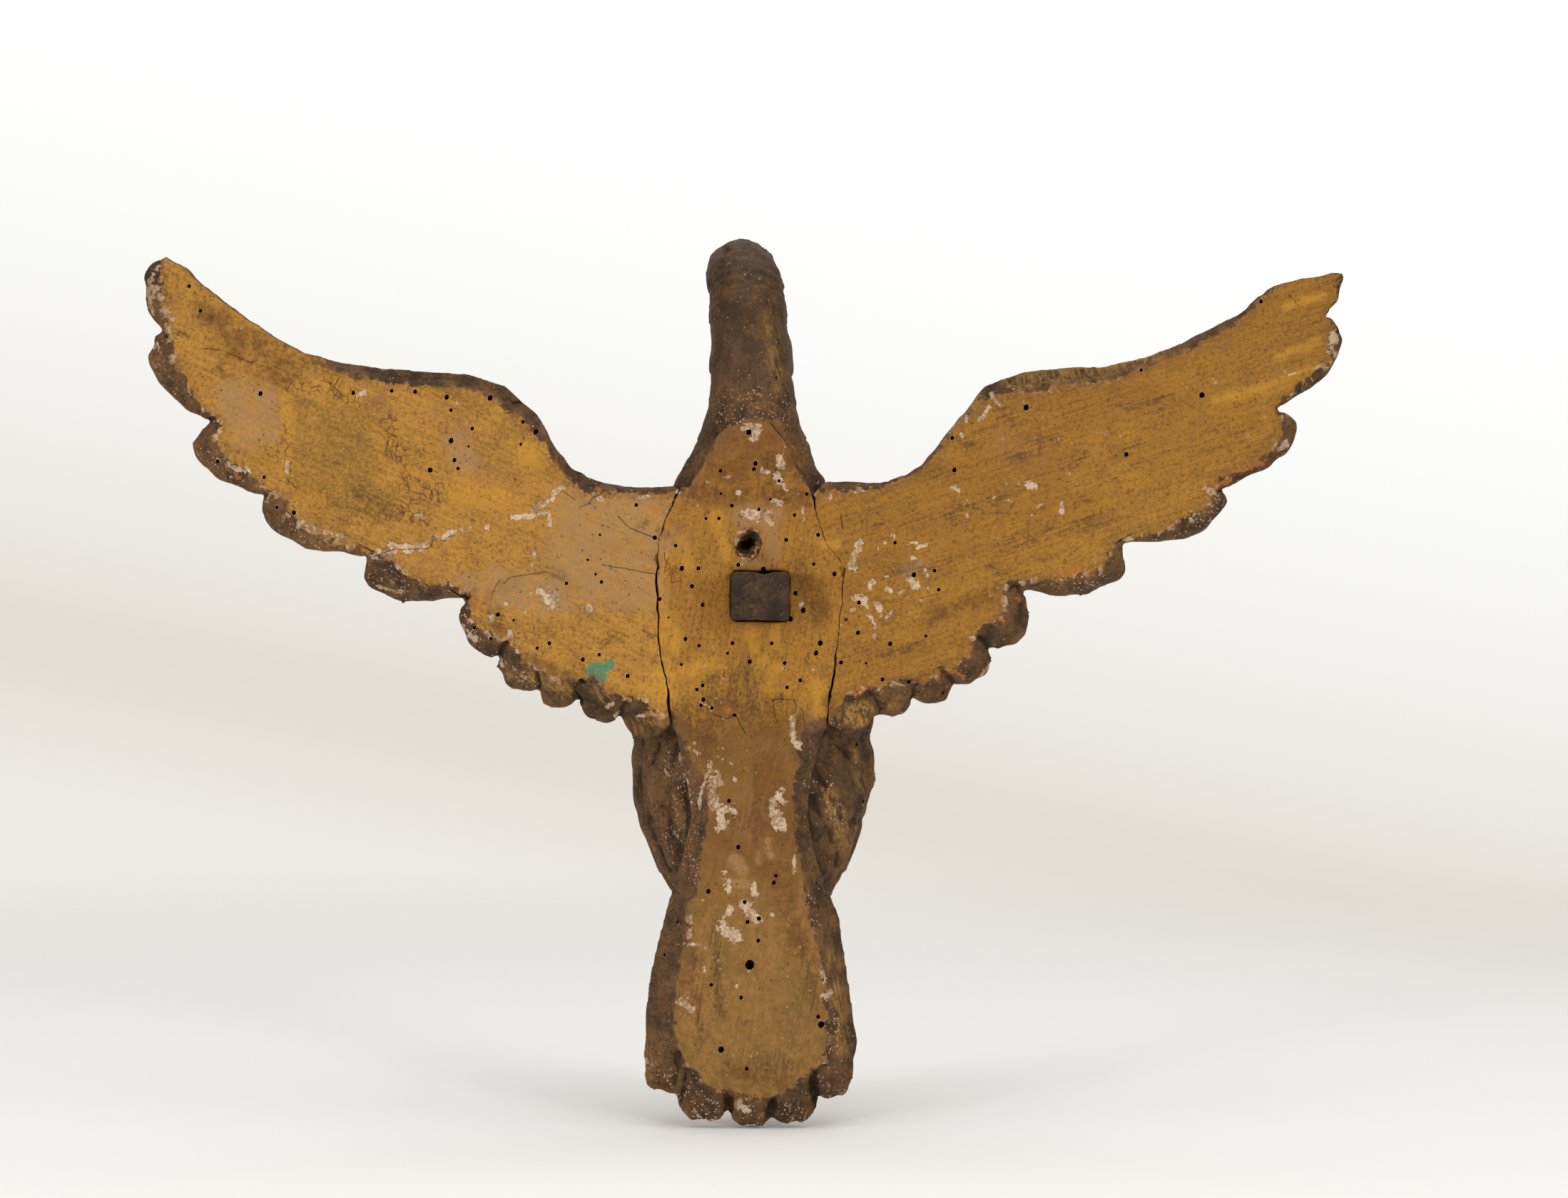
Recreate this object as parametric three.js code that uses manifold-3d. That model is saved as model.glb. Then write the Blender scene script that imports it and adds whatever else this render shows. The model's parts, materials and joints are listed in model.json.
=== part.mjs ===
// A gilded wooden swan with spread wings, carved to be fixed by its flat back.
// Millimetres, +Z up. The flat back lies in the plane Y = 0 and faces -Y, and the breast faces +Y.
// The origin is on the flat back, on the centreline of the block, just below the peg.
// Places on the carving are written as [sideways, height], with sideways counted from the centreline.

import * as THREE from 'three'
import { mergeVertices } from 'three/addons/utils/BufferGeometryUtils.js'
import Module from 'manifold-3d'

const wasm = await Module()
wasm.setup()

// Driving dimensions of the centre block and its joints with the wings.
const jointGap = 0.3
const formGap = 1
const blockDepth = 50
const blockFoot = -44
const leftJoint = [[34, 77], [45, 52], [46.7, 30], [45.3, 0], [40.3, -25], [38, blockFoot]]
const rightJoint = [[31, 77], [37.4, 50], [47, 37], [46.3, 18], [44.2, -1], [40.3, -27], [38.5, blockFoot]]
const neckPlate = [[29, 79], [22, 92], [18.5, 101], [11, 109], [0, 112]]
const neckPlateDepth = 16
const neckPlateFoot = 70

// Driving dimensions of the breast, an egg that stands in front of the block.
// Its rows start and end at the two shares of the half turn from its top to its foot.
const breastCentre = [1.2, 58, -35]
const breastHalf = [62, 47, 120]
const breastPower = 2.25
const breastSetBack = { above: 11, below: 30 }
const breastPoles = [0.06, 0.96]
const breastRows = 7
const breastFeathersAround = 10
const featherProud = 2.4

// Driving dimensions of the long feathers over each flank, which run down behind the wing.
// Angles are degrees around the breast from its side, towards the back.
const flankAngles = [2, -15, -32, -48]
const flankTurn = -10
const flankReach = [0.46, 0.8]
const flankHalfAngle = 10
const flankTaper = [0.12, 0.97]
const flankRise = 3
const flankTilt = 1.1
const flankRoot = -5

// Driving dimensions of the neck, which rises, bends forward and comes down to the head.
// Each station is [forward, height, half width, half depth, sideways].
const neckStations = [
  [24, 58, 44, 23, 0],
  [24, 80, 38.5, 24, 0],
  [24, 96, 29, 24, 0.5],
  [23.5, 112, 23.5, 22.5, 1.2],
  [24, 132, 20.5, 20.5, 1.8],
  [26.5, 158, 19, 18.5, 1],
  [36, 180, 18.5, 17.5, -2],
  [55, 189.5, 17.5, 16.5, -4.5],
  [72, 178, 17, 15.5, -2],
  [79, 154, 16.5, 15, 1]
]
const neckRows = 10
const neckFeathersAround = 6
const neckProud = 1.1
const napeShare = 0.3
const neckBend = [0.35, 0.55]
const plateProud = 0.8

// Driving dimensions of the head, which is bowed down over the breast.
// Each station is [distance along the head, half width, half depth].
const headStart = [1, 79, 164]
const headEnd = [5, 69, 78]
const headStations = [
  [0, 15, 14],
  [8, 18, 16.5],
  [22, 20, 19],
  [35, 17.5, 17],
  [45, 12.5, 12.5],
  [54, 10.5, 9.5],
  [66, 10, 7.5],
  [77, 9.5, 6],
  [84, 6.5, 4]
]
const eyeRadius = 3.6
const eyePlace = { distance: 25, side: 17.5, forward: 6.5 }
const knobRadius = 5.5
const knobPlace = { distance: 44, side: 0, forward: 10.5 }

// Driving dimensions of the tail. Each station is [height, half width, half width of the flat panel].
const tailStations = [
  [-30, 36, 36],
  [-44, 37.4, 35.5],
  [-66, 32, 25],
  [-88, 29, 20.5],
  [-106, 33.5, 25],
  [-130, 41.2, 29.5],
  [-155, 47.5, 34.5],
  [-178, 51.8, 37.5],
  [-200, 53, 37.5],
  [-214, 52, 33]
]
const tailBevelDepth = 11
const tailFrontAt = [26, 17]
const tailFeathers = [
  { tip: [-44.5, -227], heading: -104, halfWidth: 13.5, tipLength: 10 },
  { tip: [-23.5, -241.5], heading: -97, halfWidth: 15, tipLength: 13 },
  { tip: [2, -244], heading: -90, halfWidth: 13.5, tipLength: 11 },
  { tip: [23, -242.5], heading: -84, halfWidth: 13.5, tipLength: 13 },
  { tip: [44, -230], heading: -77, halfWidth: 12.5, tipLength: 13 }
]
const tailRootHeight = -70
const tailRootSpacing = 7
const tailInset = 14
const tailRows = { long: 1, short: 0.72, shortRise: 5 }
const tailCrown = 3
const tailSideShare = 0.93

// Driving dimensions of a wing. The leading edge runs from the joint over the wrist to the tip.
const leadingEdge = [
  [20, 79], [45, 78.5], [70, 79], [84, 83.5], [95, 94], [104, 109], [114, 122.5], [128, 132],
  [150, 136], [175, 136.5], [197, 139], [226, 147], [260, 167.5], [291, 193]
]
const flightFeathers = [
  { tip: [299.5, 181], heading: 40, halfWidth: 15.5, tipLength: 14, root: [195, 110] },
  { tip: [299, 150.5], heading: 35, halfWidth: 19, tipLength: 26, root: [170, 108] },
  { tip: [277.5, 105], heading: 27, halfWidth: 17.5, tipLength: 19, root: [145, 104] },
  { tip: [245, 70.5], heading: 18, halfWidth: 17.5, tipLength: 26, root: [122, 90] },
  { tip: [194.5, 37.5], heading: 8, halfWidth: 17, tipLength: 20, root: [105, 73] },
  { tip: [146, 6], heading: -15, halfWidth: 20, tipLength: 21, root: [92, 64] },
  { tip: [119, -22.5], heading: -50, halfWidth: 15.5, tipLength: 14, root: [82, 58] },
  { tip: [98.5, -32.5], heading: -65, halfWidth: 13.5, tipLength: 12, root: [70, 52] },
  { tip: [76.5, -41], heading: -70, halfWidth: 14, tipLength: 12, root: [60, 48] },
  { tip: [53.5, -49.5], heading: -80, halfWidth: 14.5, tipLength: 15, root: [50, 46] }
]
const featherRows = [
  { reach: 1, stagger: 0, rise: 0, inset: 8 },
  { reach: 0.66, stagger: 0.5, rise: 3, inset: 0 },
  { reach: 0.42, stagger: 0, rise: 5.5, inset: 0 }
]
const featherBend = 0.75
const depthAtRoot = 22
const depthAtTip = 13
const wingReach = 300
const armRise = 7
const armWidthAtRoot = 40
const armWidthAtTip = 17
const armInset = 9
const armEdge = 0.5
const boardDepth = 9
const boardInset = 10

// The front of a feather across its width: [share of its half width, share of its depth].
const featherCrest = [[-0.72, 0.78], [0, 1], [0.8, 0.94]]
const featherEdges = { leading: 0.85, trailing: 1.1, belowCrest: 5, ofDepth: 0.55 }
const featherTipShare = 0.72
const featherTipRound = 3

// The front of the arm from its leading edge: [share of its width, share of its depth].
const armCrest = [[0.1, 0.78], [0.4, 1], [0.75, 0.92], [1, 0.6], [1, 0]]
const armEdgeShare = 0.42

// The right wing is a little shorter than the left beyond its root, and its feathers sit higher.
const rightWing = {
  short: 4.5, shortFrom: 40, shortOver: 60,
  lift: [2, 6], liftFrom: -40, liftOver: 150, liftSpan: 90
}

// Driving dimensions of the break at the right wing's outer tip, a row of short splintered steps.
const breakStart = [258, 180.5]
const breakStep = [8, 2.1]
const breakSteps = 6
const breakRise = 0.35
const breakSplinter = 0.7
const breakBeside = [12, 20]
const breakAbove = 60

// Driving dimensions of the peg, its mortise and the knot hole above it.
const pegCentre = [5.7, 22.8]
const pegSize = [29.5, 24.6]
const pegProud = 28
const mortiseDepth = 20
const knotCentre = [-0.5, 48.8]
const knotRadius = 5
const knotTaper = 0.4
const knotDepth = 13

const gildedWood = { color: 0x8a6a30, roughness: 0.65, metalness: 0 }
const pegWood = { color: 0x3a2b1c, roughness: 0.7, metalness: 0 }

const mix = THREE.MathUtils.lerp
const clamp = THREE.MathUtils.clamp

// A closed three.js geometry as a solid that can be joined and cut.
function solid(geometry) {
  geometry.deleteAttribute('normal')
  geometry.deleteAttribute('uv')
  const merged = mergeVertices(geometry)
  const vertProperties = new Float32Array(merged.attributes.position.array)
  const triVerts = new Uint32Array(merged.index.array)
  return new wasm.Manifold(new wasm.Mesh({ numProp: 3, vertProperties, triVerts }))
}

// A finished solid as a named mesh with its own material.
function piece(name, shape, finish) {
  const { vertProperties, triVerts } = shape.getMesh()
  const geometry = new THREE.BufferGeometry()
  geometry.setAttribute('position', new THREE.BufferAttribute(vertProperties, 3))
  geometry.setIndex(new THREE.BufferAttribute(triVerts, 1))
  geometry.computeVertexNormals()
  const mesh = new THREE.Mesh(geometry, new THREE.MeshStandardMaterial(finish))
  mesh.name = name
  return mesh
}

function union(shapes) {
  return shapes.reduce((whole, shape) => whole.add(shape))
}

// Six times the volume inside a set of triangles, negative when they face inwards.
function signedVolume(points, triangles) {
  let sum = 0
  for (const [a, b, c] of triangles) {
    sum += points[a].dot(points[b].clone().cross(points[c]))
  }
  return sum
}

// A closed solid through a row of rings of equally many points, with a fan over each end.
function loft(rings) {
  const count = rings[0].length
  const points = rings.flat()
  const triangles = []
  for (let ring = 0; ring + 1 < rings.length; ring++) {
    for (let i = 0; i < count; i++) {
      const a = ring * count + i
      const b = ring * count + (i + 1) % count
      triangles.push([a, b, b + count], [a, b + count, a + count])
    }
  }
  const ends = [[0, true], [rings.length - 1, false]]
  for (const [ring, turned] of ends) {
    const centre = new THREE.Vector3()
    rings[ring].forEach(point => centre.addScaledVector(point, 1 / count))
    const hub = points.push(centre) - 1
    for (let i = 0; i < count; i++) {
      const a = ring * count + i
      const b = ring * count + (i + 1) % count
      triangles.push(turned ? [hub, b, a] : [hub, a, b])
    }
  }
  if (signedVolume(points, triangles) < 0) {
    triangles.forEach(triangle => triangle.reverse())
  }
  const geometry = new THREE.BufferGeometry().setFromPoints(points)
  geometry.setIndex(triangles.flat())
  return solid(geometry)
}

// A board with a flat back: an outline in the plane of the back, carried forward to a depth.
function board(outline, depth, from = 0) {
  const shape = new THREE.Shape(outline.map(([x, z]) => new THREE.Vector2(x, z)))
  const geometry = new THREE.ExtrudeGeometry(shape, { depth, bevelEnabled: false, steps: 1 })
  geometry.rotateX(Math.PI / 2)
  geometry.translate(0, from + depth, 0)
  return solid(geometry)
}

// A curve through stations of numbers, read at t from 0 to 1.
function along(stations, t) {
  const place = clamp(t, 0, 1) * (stations.length - 1)
  const i = Math.min(Math.floor(place), stations.length - 2)
  const f = place - i
  return stations[i].map((value, k) => {
    const before = stations[Math.max(i - 1, 0)][k]
    const next = stations[i + 1][k]
    const after = stations[Math.min(i + 2, stations.length - 1)][k]
    const rise = (next - before) / 2
    const fall = (after - value) / 2
    const h = f * f * (3 - 2 * f)
    return mix(value, next, h) + rise * f * (1 - f) * (1 - f) - fall * f * f * (1 - f)
  })
}

// A round form covered with rows of scale feathers, each row proud at its scalloped lower edge.
function scaledForm({ pointAt, rows, feathersAround, proudAt }) {
  const perFeather = 4
  const scallop = 0.34
  const lip = 0.02
  const columns = feathersAround * perFeather
  const rings = []
  for (let row = 0; row < rows; row++) {
    for (const lower of [0, 1]) {
      const edge = row + lower
      const open = edge > 0 && edge < rows
      const ring = []
      for (let column = 0; column < columns; column++) {
        const across = (column / perFeather + edge / 2) % 1
        const drop = open ? scallop * (1 - (2 * across - 1) ** 2) : 0
        const t = (edge + drop + lip * (1 - lower)) / rows
        const angle = 2 * Math.PI * column / columns
        ring.push(pointAt(t, angle, lower ? proudAt(t, angle) : 0))
      }
      rings.push(ring)
    }
  }
  return loft(rings)
}

// A point on the breast at t from its top to its foot, with the surface lifted by some millimetres.
function breastPoint(t, angle, lift) {
  const height = Math.cos(Math.PI * mix(...breastPoles, t))
  const swell = Math.sqrt(1 - Math.abs(height) ** breastPower)
  const [x, y, z] = breastCentre
  const setBack = (height > 0 ? breastSetBack.above : breastSetBack.below) * height * height
  return new THREE.Vector3(
    x + (breastHalf[0] * swell + lift) * Math.cos(angle),
    y - setBack + (breastHalf[1] * swell + lift) * Math.sin(angle),
    z + breastHalf[2] * height
  )
}

// 1 on the front of a round form and 0 behind, with a soft change at its sides.
function towardsFront(angle) {
  return THREE.MathUtils.smoothstep(Math.sin(angle), -0.25, 0.25)
}

// How far the breast's scale feathers stand out, with none where the back of the egg shows.
function breastProudAt(t, angle) {
  return featherProud * towardsFront(angle)
}

// How far the neck's scale feathers stand out, less on the nape below the bend.
function neckProudAt(t, angle) {
  const bend = 1 - THREE.MathUtils.smoothstep(t, ...neckBend)
  return neckProud * mix(napeShare, 1, Math.max(towardsFront(angle), bend))
}

// A point on the neck at t from the head to its base, with the surface lifted by some millimetres.
function neckPoint(t, angle, lift) {
  const step = 0.01
  const [forward, height, halfWidth, halfDepth, sideways] = along(neckStations, 1 - t)
  const [aheadForward, aheadHeight] = along(neckStations, 1 - t + (t > step ? step : 0))
  const [behindForward, behindHeight] = along(neckStations, 1 - t - (t < 1 - step ? step : 0))
  const way = new THREE.Vector2(aheadForward - behindForward, aheadHeight - behindHeight).normalize()
  const side = (halfWidth + lift) * Math.cos(angle)
  const out = (halfDepth + lift) * Math.sin(angle)
  const depth = Math.max(forward + way.y * out, plateProud)
  return new THREE.Vector3(sideways + side, depth, height - way.x * out)
}

// A point of a wing, from its place on the left wing's pattern.
function wingPoint(side, out, height, forward) {
  if (side < 0) {
    return new THREE.Vector3(-out, forward, height)
  }
  const { short, shortFrom, shortOver, lift, liftFrom, liftOver, liftSpan } = rightWing
  const shorter = short * clamp((out - shortFrom) / shortOver, 0, 1)
  const raised = mix(...lift, clamp((height - liftFrom) / liftOver, 0, 1))
  return new THREE.Vector3(out - shorter, forward, height + raised * clamp((out - height) / liftSpan, 0, 1))
}

// One carved feather: a sickle-shaped strip with a round tip, flat behind and ridged along its shaft.
function feather({ pointAt, root, tip, heading, halfWidth, tipLength, reach, inset, depthAt, rise, back }) {
  const { leading, trailing, belowCrest, ofDepth } = featherEdges
  const angle = THREE.MathUtils.degToRad(heading)
  const direction = new THREE.Vector2(Math.cos(angle), Math.sin(angle))
  const start = new THREE.Vector2(...root)
  const end = new THREE.Vector2(...tip)
  const control = end.clone().addScaledVector(direction, -featherBend * start.distanceTo(end))
  const shaft = new THREE.QuadraticBezierCurve(start, control, end)
  const length = shaft.getLength() * reach
  const place = s => clamp(reach * (1 - s / length), 0, 1)
  const halfAt = s => halfWidth * (s < tipLength ? Math.sqrt(1 - (1 - s / tipLength) ** 2) : 1)
  const outlinePoint = (s, across, depth) => {
    const centre = shaft.getPointAt(place(s))
    const way = shaft.getTangentAt(place(s))
    return pointAt(centre.x + way.y * across, centre.y - way.x * across, depth)
  }
  const stations = [0.04, 0.22, 0.55, 1].map(part => part * tipLength)
  const rest = length - tipLength
  if (inset > 0) {
    stations.push(tipLength + rest * 0.4)
  }
  stations.push(tipLength + rest * 0.97)
  const rings = stations.map(s => {
    const half = halfAt(s)
    const backS = s + inset * Math.max(0, 1 - s / tipLength)
    const backHalf = Math.max(halfAt(backS) - inset, 0.5)
    const round = Math.sqrt(Math.min(1, (s + featherTipRound) / (tipLength + featherTipRound)))
    const depth = (depthAt(Math.abs(shaft.getPointAt(place(s)).x)) + rise) * mix(featherTipShare, 1, round)
    const lowest = Math.max(back, depth - belowCrest)
    const sideDepth = inset > 0 ? Math.min(inset, depth * ofDepth) : lowest
    const crest = inset > 0 ? featherCrest : featherCrest.filter(([across]) => across === 0)
    return [
      outlinePoint(backS, -backHalf, back),
      outlinePoint(s, -half, sideDepth * leading),
      ...crest.map(([across, share]) => outlinePoint(s, half * across, depth * share)),
      outlinePoint(s, half, sideDepth * trailing),
      outlinePoint(backS, backHalf, back)
    ]
  })
  return loft(rings)
}

// A row of feathers cut short at its reach, set half a feather on where it is staggered.
function featherRow(feathers, row, common) {
  const made = []
  const last = feathers.length - (row.stagger > 0 ? 1 : 0)
  for (let i = 0; i < last; i++) {
    const one = feathers[i]
    const two = feathers[Math.min(i + 1, feathers.length - 1)]
    const between = key => mix(one[key], two[key], row.stagger)
    const pointBetween = key => one[key].map((value, k) => mix(value, two[key][k], row.stagger))
    made.push(feather({
      ...common,
      root: pointBetween('root'),
      tip: pointBetween('tip'),
      heading: between('heading'),
      halfWidth: between('halfWidth'),
      tipLength: between('tipLength'),
      reach: row.reach,
      rise: row.rise,
      inset: row.inset,
      back: row.inset > 0 ? 0 : boardDepth / 2
    }))
  }
  return made
}

const wingDepthAt = out => mix(depthAtRoot, depthAtTip, clamp(out / wingReach, 0, 1))

const edgeCurve = new THREE.CatmullRomCurve3(
  leadingEdge.map(([out, height]) => new THREE.Vector3(out, height, 0)), false, 'centripetal'
)

// The thick arm of the wing, which follows the leading edge.
function arm(side) {
  const steps = 15
  const rings = []
  for (let step = 0; step <= steps; step++) {
    const t = step / steps
    const at = edgeCurve.getPointAt(t)
    const way = edgeCurve.getTangentAt(t)
    const width = mix(armWidthAtRoot, armWidthAtTip, t)
    const depth = wingDepthAt(at.x) + armRise * (1 - t * t)
    const inset = Math.min(armInset, width / 2.5)
    const crest = armCrest.map(([across, share]) => [width * across, depth * share])
    const section = [[inset, 0], [armEdge, depth * armEdgeShare], ...crest]
    rings.push(section.map(([across, forward]) => (
      wingPoint(side, at.x + way.y * across, at.y - way.x * across, forward)
    )))
  }
  return loft(rings)
}

// The thin board behind the feathers, which keeps the back of the wing whole.
function wingBoard(side) {
  const inner = leadingEdge[0][0]
  const foot = flightFeathers.at(-1).tip[1] + boardInset * 2
  const outline = []
  const steps = 14
  for (let step = 0; step <= steps; step++) {
    const at = edgeCurve.getPointAt(step / steps)
    const way = edgeCurve.getTangentAt(step / steps)
    outline.push([at.x + way.y * boardInset, at.y - way.x * boardInset])
  }
  for (const { tip, heading, tipLength, halfWidth } of flightFeathers) {
    const angle = THREE.MathUtils.degToRad(heading)
    const back = tipLength + halfWidth * 0.4
    outline.push([tip[0] - Math.cos(angle) * back, tip[1] - Math.sin(angle) * back])
  }
  outline.push([inner, foot])
  const points = outline.map(([out, height]) => wingPoint(side, out, height, 0))
  return board(points.map(point => [point.x, point.z]), boardDepth)
}

// The outline of the centre block between the wings, grown sideways by some millimetres.
function blockOutline(grow) {
  const left = leftJoint.map(([out, height]) => [-out - grow, height])
  const right = rightJoint.map(([out, height]) => [out + grow, height])
  return [...right, ...left.reverse()]
}

// The block grown by the joint's gap and carried on up and down, which trims the root of a wing.
function jointTrimmer() {
  const beyond = 30
  const narrower = 2
  const outline = blockOutline(jointGap)
  const rightSide = outline.slice(0, rightJoint.length)
  const leftSide = outline.slice(rightJoint.length)
  const [rightTop, rightFoot] = [rightSide[0], rightSide.at(-1)]
  const [leftFoot, leftTop] = [leftSide[0], leftSide.at(-1)]
  const trimmed = [
    [rightTop[0], rightTop[1] + beyond],
    ...rightSide,
    [rightFoot[0] - narrower, rightFoot[1] - beyond],
    [leftFoot[0] + narrower, leftFoot[1] - beyond],
    ...leftSide,
    [leftTop[0], leftTop[1] + beyond]
  ]
  return board(trimmed, blockDepth + 2 * beyond, -beyond)
}

// A round form without its feathers, grown by some millimetres, which trims what lies against it.
function smoothForm(pointAt, grow) {
  const steps = 16
  const columns = 36
  const rings = []
  for (let step = 0; step <= steps; step++) {
    const ring = []
    for (let column = 0; column < columns; column++) {
      ring.push(pointAt(step / steps, 2 * Math.PI * column / columns, grow))
    }
    rings.push(ring)
  }
  return loft(rings)
}

// The splintered break that took the outer corner of the right wing's tip.
function brokenCorner() {
  const [startOut, startHeight] = breakStart
  const [stepOut, stepHeight] = breakStep
  const inner = startOut - breakBeside[0]
  const outer = startOut + stepOut * breakSteps + breakBeside[1]
  const outline = [[inner, startHeight + breakAbove]]
  for (let step = 0; step < breakSteps; step++) {
    const out = startOut + stepOut * step
    const height = startHeight + stepHeight * step * breakRise
    outline.push([out, height], [out + stepOut * breakSplinter, height - stepHeight])
  }
  outline.push([outer, startHeight + stepHeight])
  outline.push([outer, startHeight + breakAbove])
  return board(outline, 2 * wingReach, -wingReach)
}

function wing(side) {
  const common = { pointAt: (...place) => wingPoint(side, ...place), depthAt: wingDepthAt }
  const feathers = featherRows.flatMap(row => featherRow(flightFeathers, row, common))
  let shape = union([wingBoard(side), arm(side), ...feathers])
  if (side > 0) {
    shape = shape.subtract(brokenCorner())
  }
  return shape
    .subtract(jointTrimmer())
    .subtract(smoothForm(breastPoint, featherProud + formGap))
    .subtract(smoothForm(neckPoint, neckProud + formGap))
}

// The head and bill, as a run of round sections from the neck's end to the tip of the bill.
function head() {
  const start = new THREE.Vector3(...headStart)
  const way = new THREE.Vector3(...headEnd).sub(start).normalize()
  const out = new THREE.Vector3(0, -way.z, way.y).normalize()
  const sideways = new THREE.Vector3().crossVectors(way, out)
  const around = 12
  const at = (distance, across, forward) => start.clone()
    .addScaledVector(way, distance)
    .addScaledVector(sideways, across)
    .addScaledVector(out, forward)
  const rings = headStations.map(([distance, halfWidth, halfDepth]) => {
    const ring = []
    for (let i = 0; i < around; i++) {
      const angle = 2 * Math.PI * i / around
      ring.push(at(distance, halfWidth * Math.cos(angle), halfDepth * Math.sin(angle)))
    }
    return ring
  })
  const parts = [loft(rings)]
  const bead = (radius, { distance, side, forward }, turn) => {
    const centre = at(distance, side * turn, forward)
    return solid(new THREE.SphereGeometry(radius, 8, 6).translate(centre.x, centre.y, centre.z))
  }
  parts.push(bead(eyeRadius, eyePlace, -1), bead(eyeRadius, eyePlace, 1))
  parts.push(bead(knobRadius, knobPlace, 1))
  return union(parts)
}

// The tail: a bell-shaped board with a wide bevel behind, and rows of feathers over its front.
function tail() {
  const rings = tailStations.map(([height, half, panel], i) => {
    const front = mix(tailFrontAt[0], tailFrontAt[1], i / (tailStations.length - 1))
    const bevel = clamp(half - panel, armEdge, tailBevelDepth)
    const side = half * tailSideShare
    return [
      [-panel, 0], [-half, bevel], [-side, front - tailCrown], [0, front],
      [side, front - tailCrown], [half, bevel], [panel, 0]
    ].map(([x, y]) => new THREE.Vector3(x, y, height))
  })
  const middle = (tailFeathers.length - 1) / 2
  const feathers = tailFeathers.map((one, i) => ({
    ...one, root: [tailRootSpacing * (i - middle), tailRootHeight]
  }))
  const common = {
    pointAt: (sideways, height, forward) => new THREE.Vector3(sideways, forward, height),
    depthAt: () => tailFrontAt[1] + 2
  }
  const long = { reach: tailRows.long, stagger: 0, rise: 0, inset: tailInset }
  const short = { reach: tailRows.short, stagger: 0.5, rise: tailRows.shortRise, inset: 0 }
  return union([loft(rings), ...featherRow(feathers, long, common), ...featherRow(feathers, short, common)])
}

// The long feathers of both flanks, each a tapered leaf that hugs the side of the breast.
function flankFeathers() {
  const steps = 5
  const across = [-1, 0, 1]
  const made = []
  for (const side of [-1, 1]) {
    for (const startAngle of flankAngles) {
      const rings = []
      for (let step = 0; step <= steps; step++) {
        const f = step / steps
        const taper = Math.sqrt(Math.sin(Math.PI * mix(...flankTaper, f)))
        const pointOn = (k, lift) => {
          const turned = startAngle + flankTurn * f * f + k * flankHalfAngle * taper
          const angle = THREE.MathUtils.degToRad(side > 0 ? turned : 180 - turned)
          return breastPoint(mix(flankReach[0], flankReach[1], f), angle, lift)
        }
        const top = across.map(k => pointOn(k, (flankRise * (1 - k * k) + flankTilt * k) * taper))
        rings.push([...top, pointOn(1, flankRoot), pointOn(-1, flankRoot)])
      }
      made.push(loft(rings))
    }
  }
  return made
}

function body() {
  const block = board(blockOutline(0), blockDepth)
  const mirrored = neckPlate.slice(0, -1).reverse().map(([out, height]) => [-out, height])
  const foot = [[-neckPlate[0][0], neckPlateFoot], [neckPlate[0][0], neckPlateFoot]]
  const plate = board([...neckPlate, ...mirrored, ...foot], neckPlateDepth)
  const breast = scaledForm({
    pointAt: breastPoint, rows: breastRows, feathersAround: breastFeathersAround, proudAt: breastProudAt
  })
  const neck = scaledForm({
    pointAt: neckPoint, rows: neckRows, feathersAround: neckFeathersAround, proudAt: neckProudAt
  })
  const whole = union([block, plate, breast, ...flankFeathers(), neck, head(), tail()])
  const mortise = new THREE.BoxGeometry(
    pegSize[0] + 2 * jointGap, 2 * mortiseDepth, pegSize[1] + 2 * jointGap
  )
  mortise.translate(pegCentre[0], 0, pegCentre[1])
  const knot = new THREE.CylinderGeometry(knotRadius * knotTaper, knotRadius, knotDepth + formGap, 9)
  knot.translate(knotCentre[0], (knotDepth - formGap) / 2, knotCentre[1])
  return whole.subtract(solid(mortise)).subtract(solid(knot))
}

function peg() {
  const inside = mortiseDepth - jointGap
  const geometry = new THREE.BoxGeometry(pegSize[0], pegProud + inside, pegSize[1])
  geometry.translate(pegCentre[0], (inside - pegProud) / 2, pegCentre[1])
  return solid(geometry)
}

const swan = new THREE.Group()
swan.add(piece('body', body(), gildedWood))
swan.add(piece('left_wing', wing(-1), gildedWood))
swan.add(piece('right_wing', wing(1), gildedWood))
swan.add(piece('back_peg', peg(), pegWood))

export default swan
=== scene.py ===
"""Carves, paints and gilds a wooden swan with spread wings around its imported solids."""

import json
import math

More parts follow.
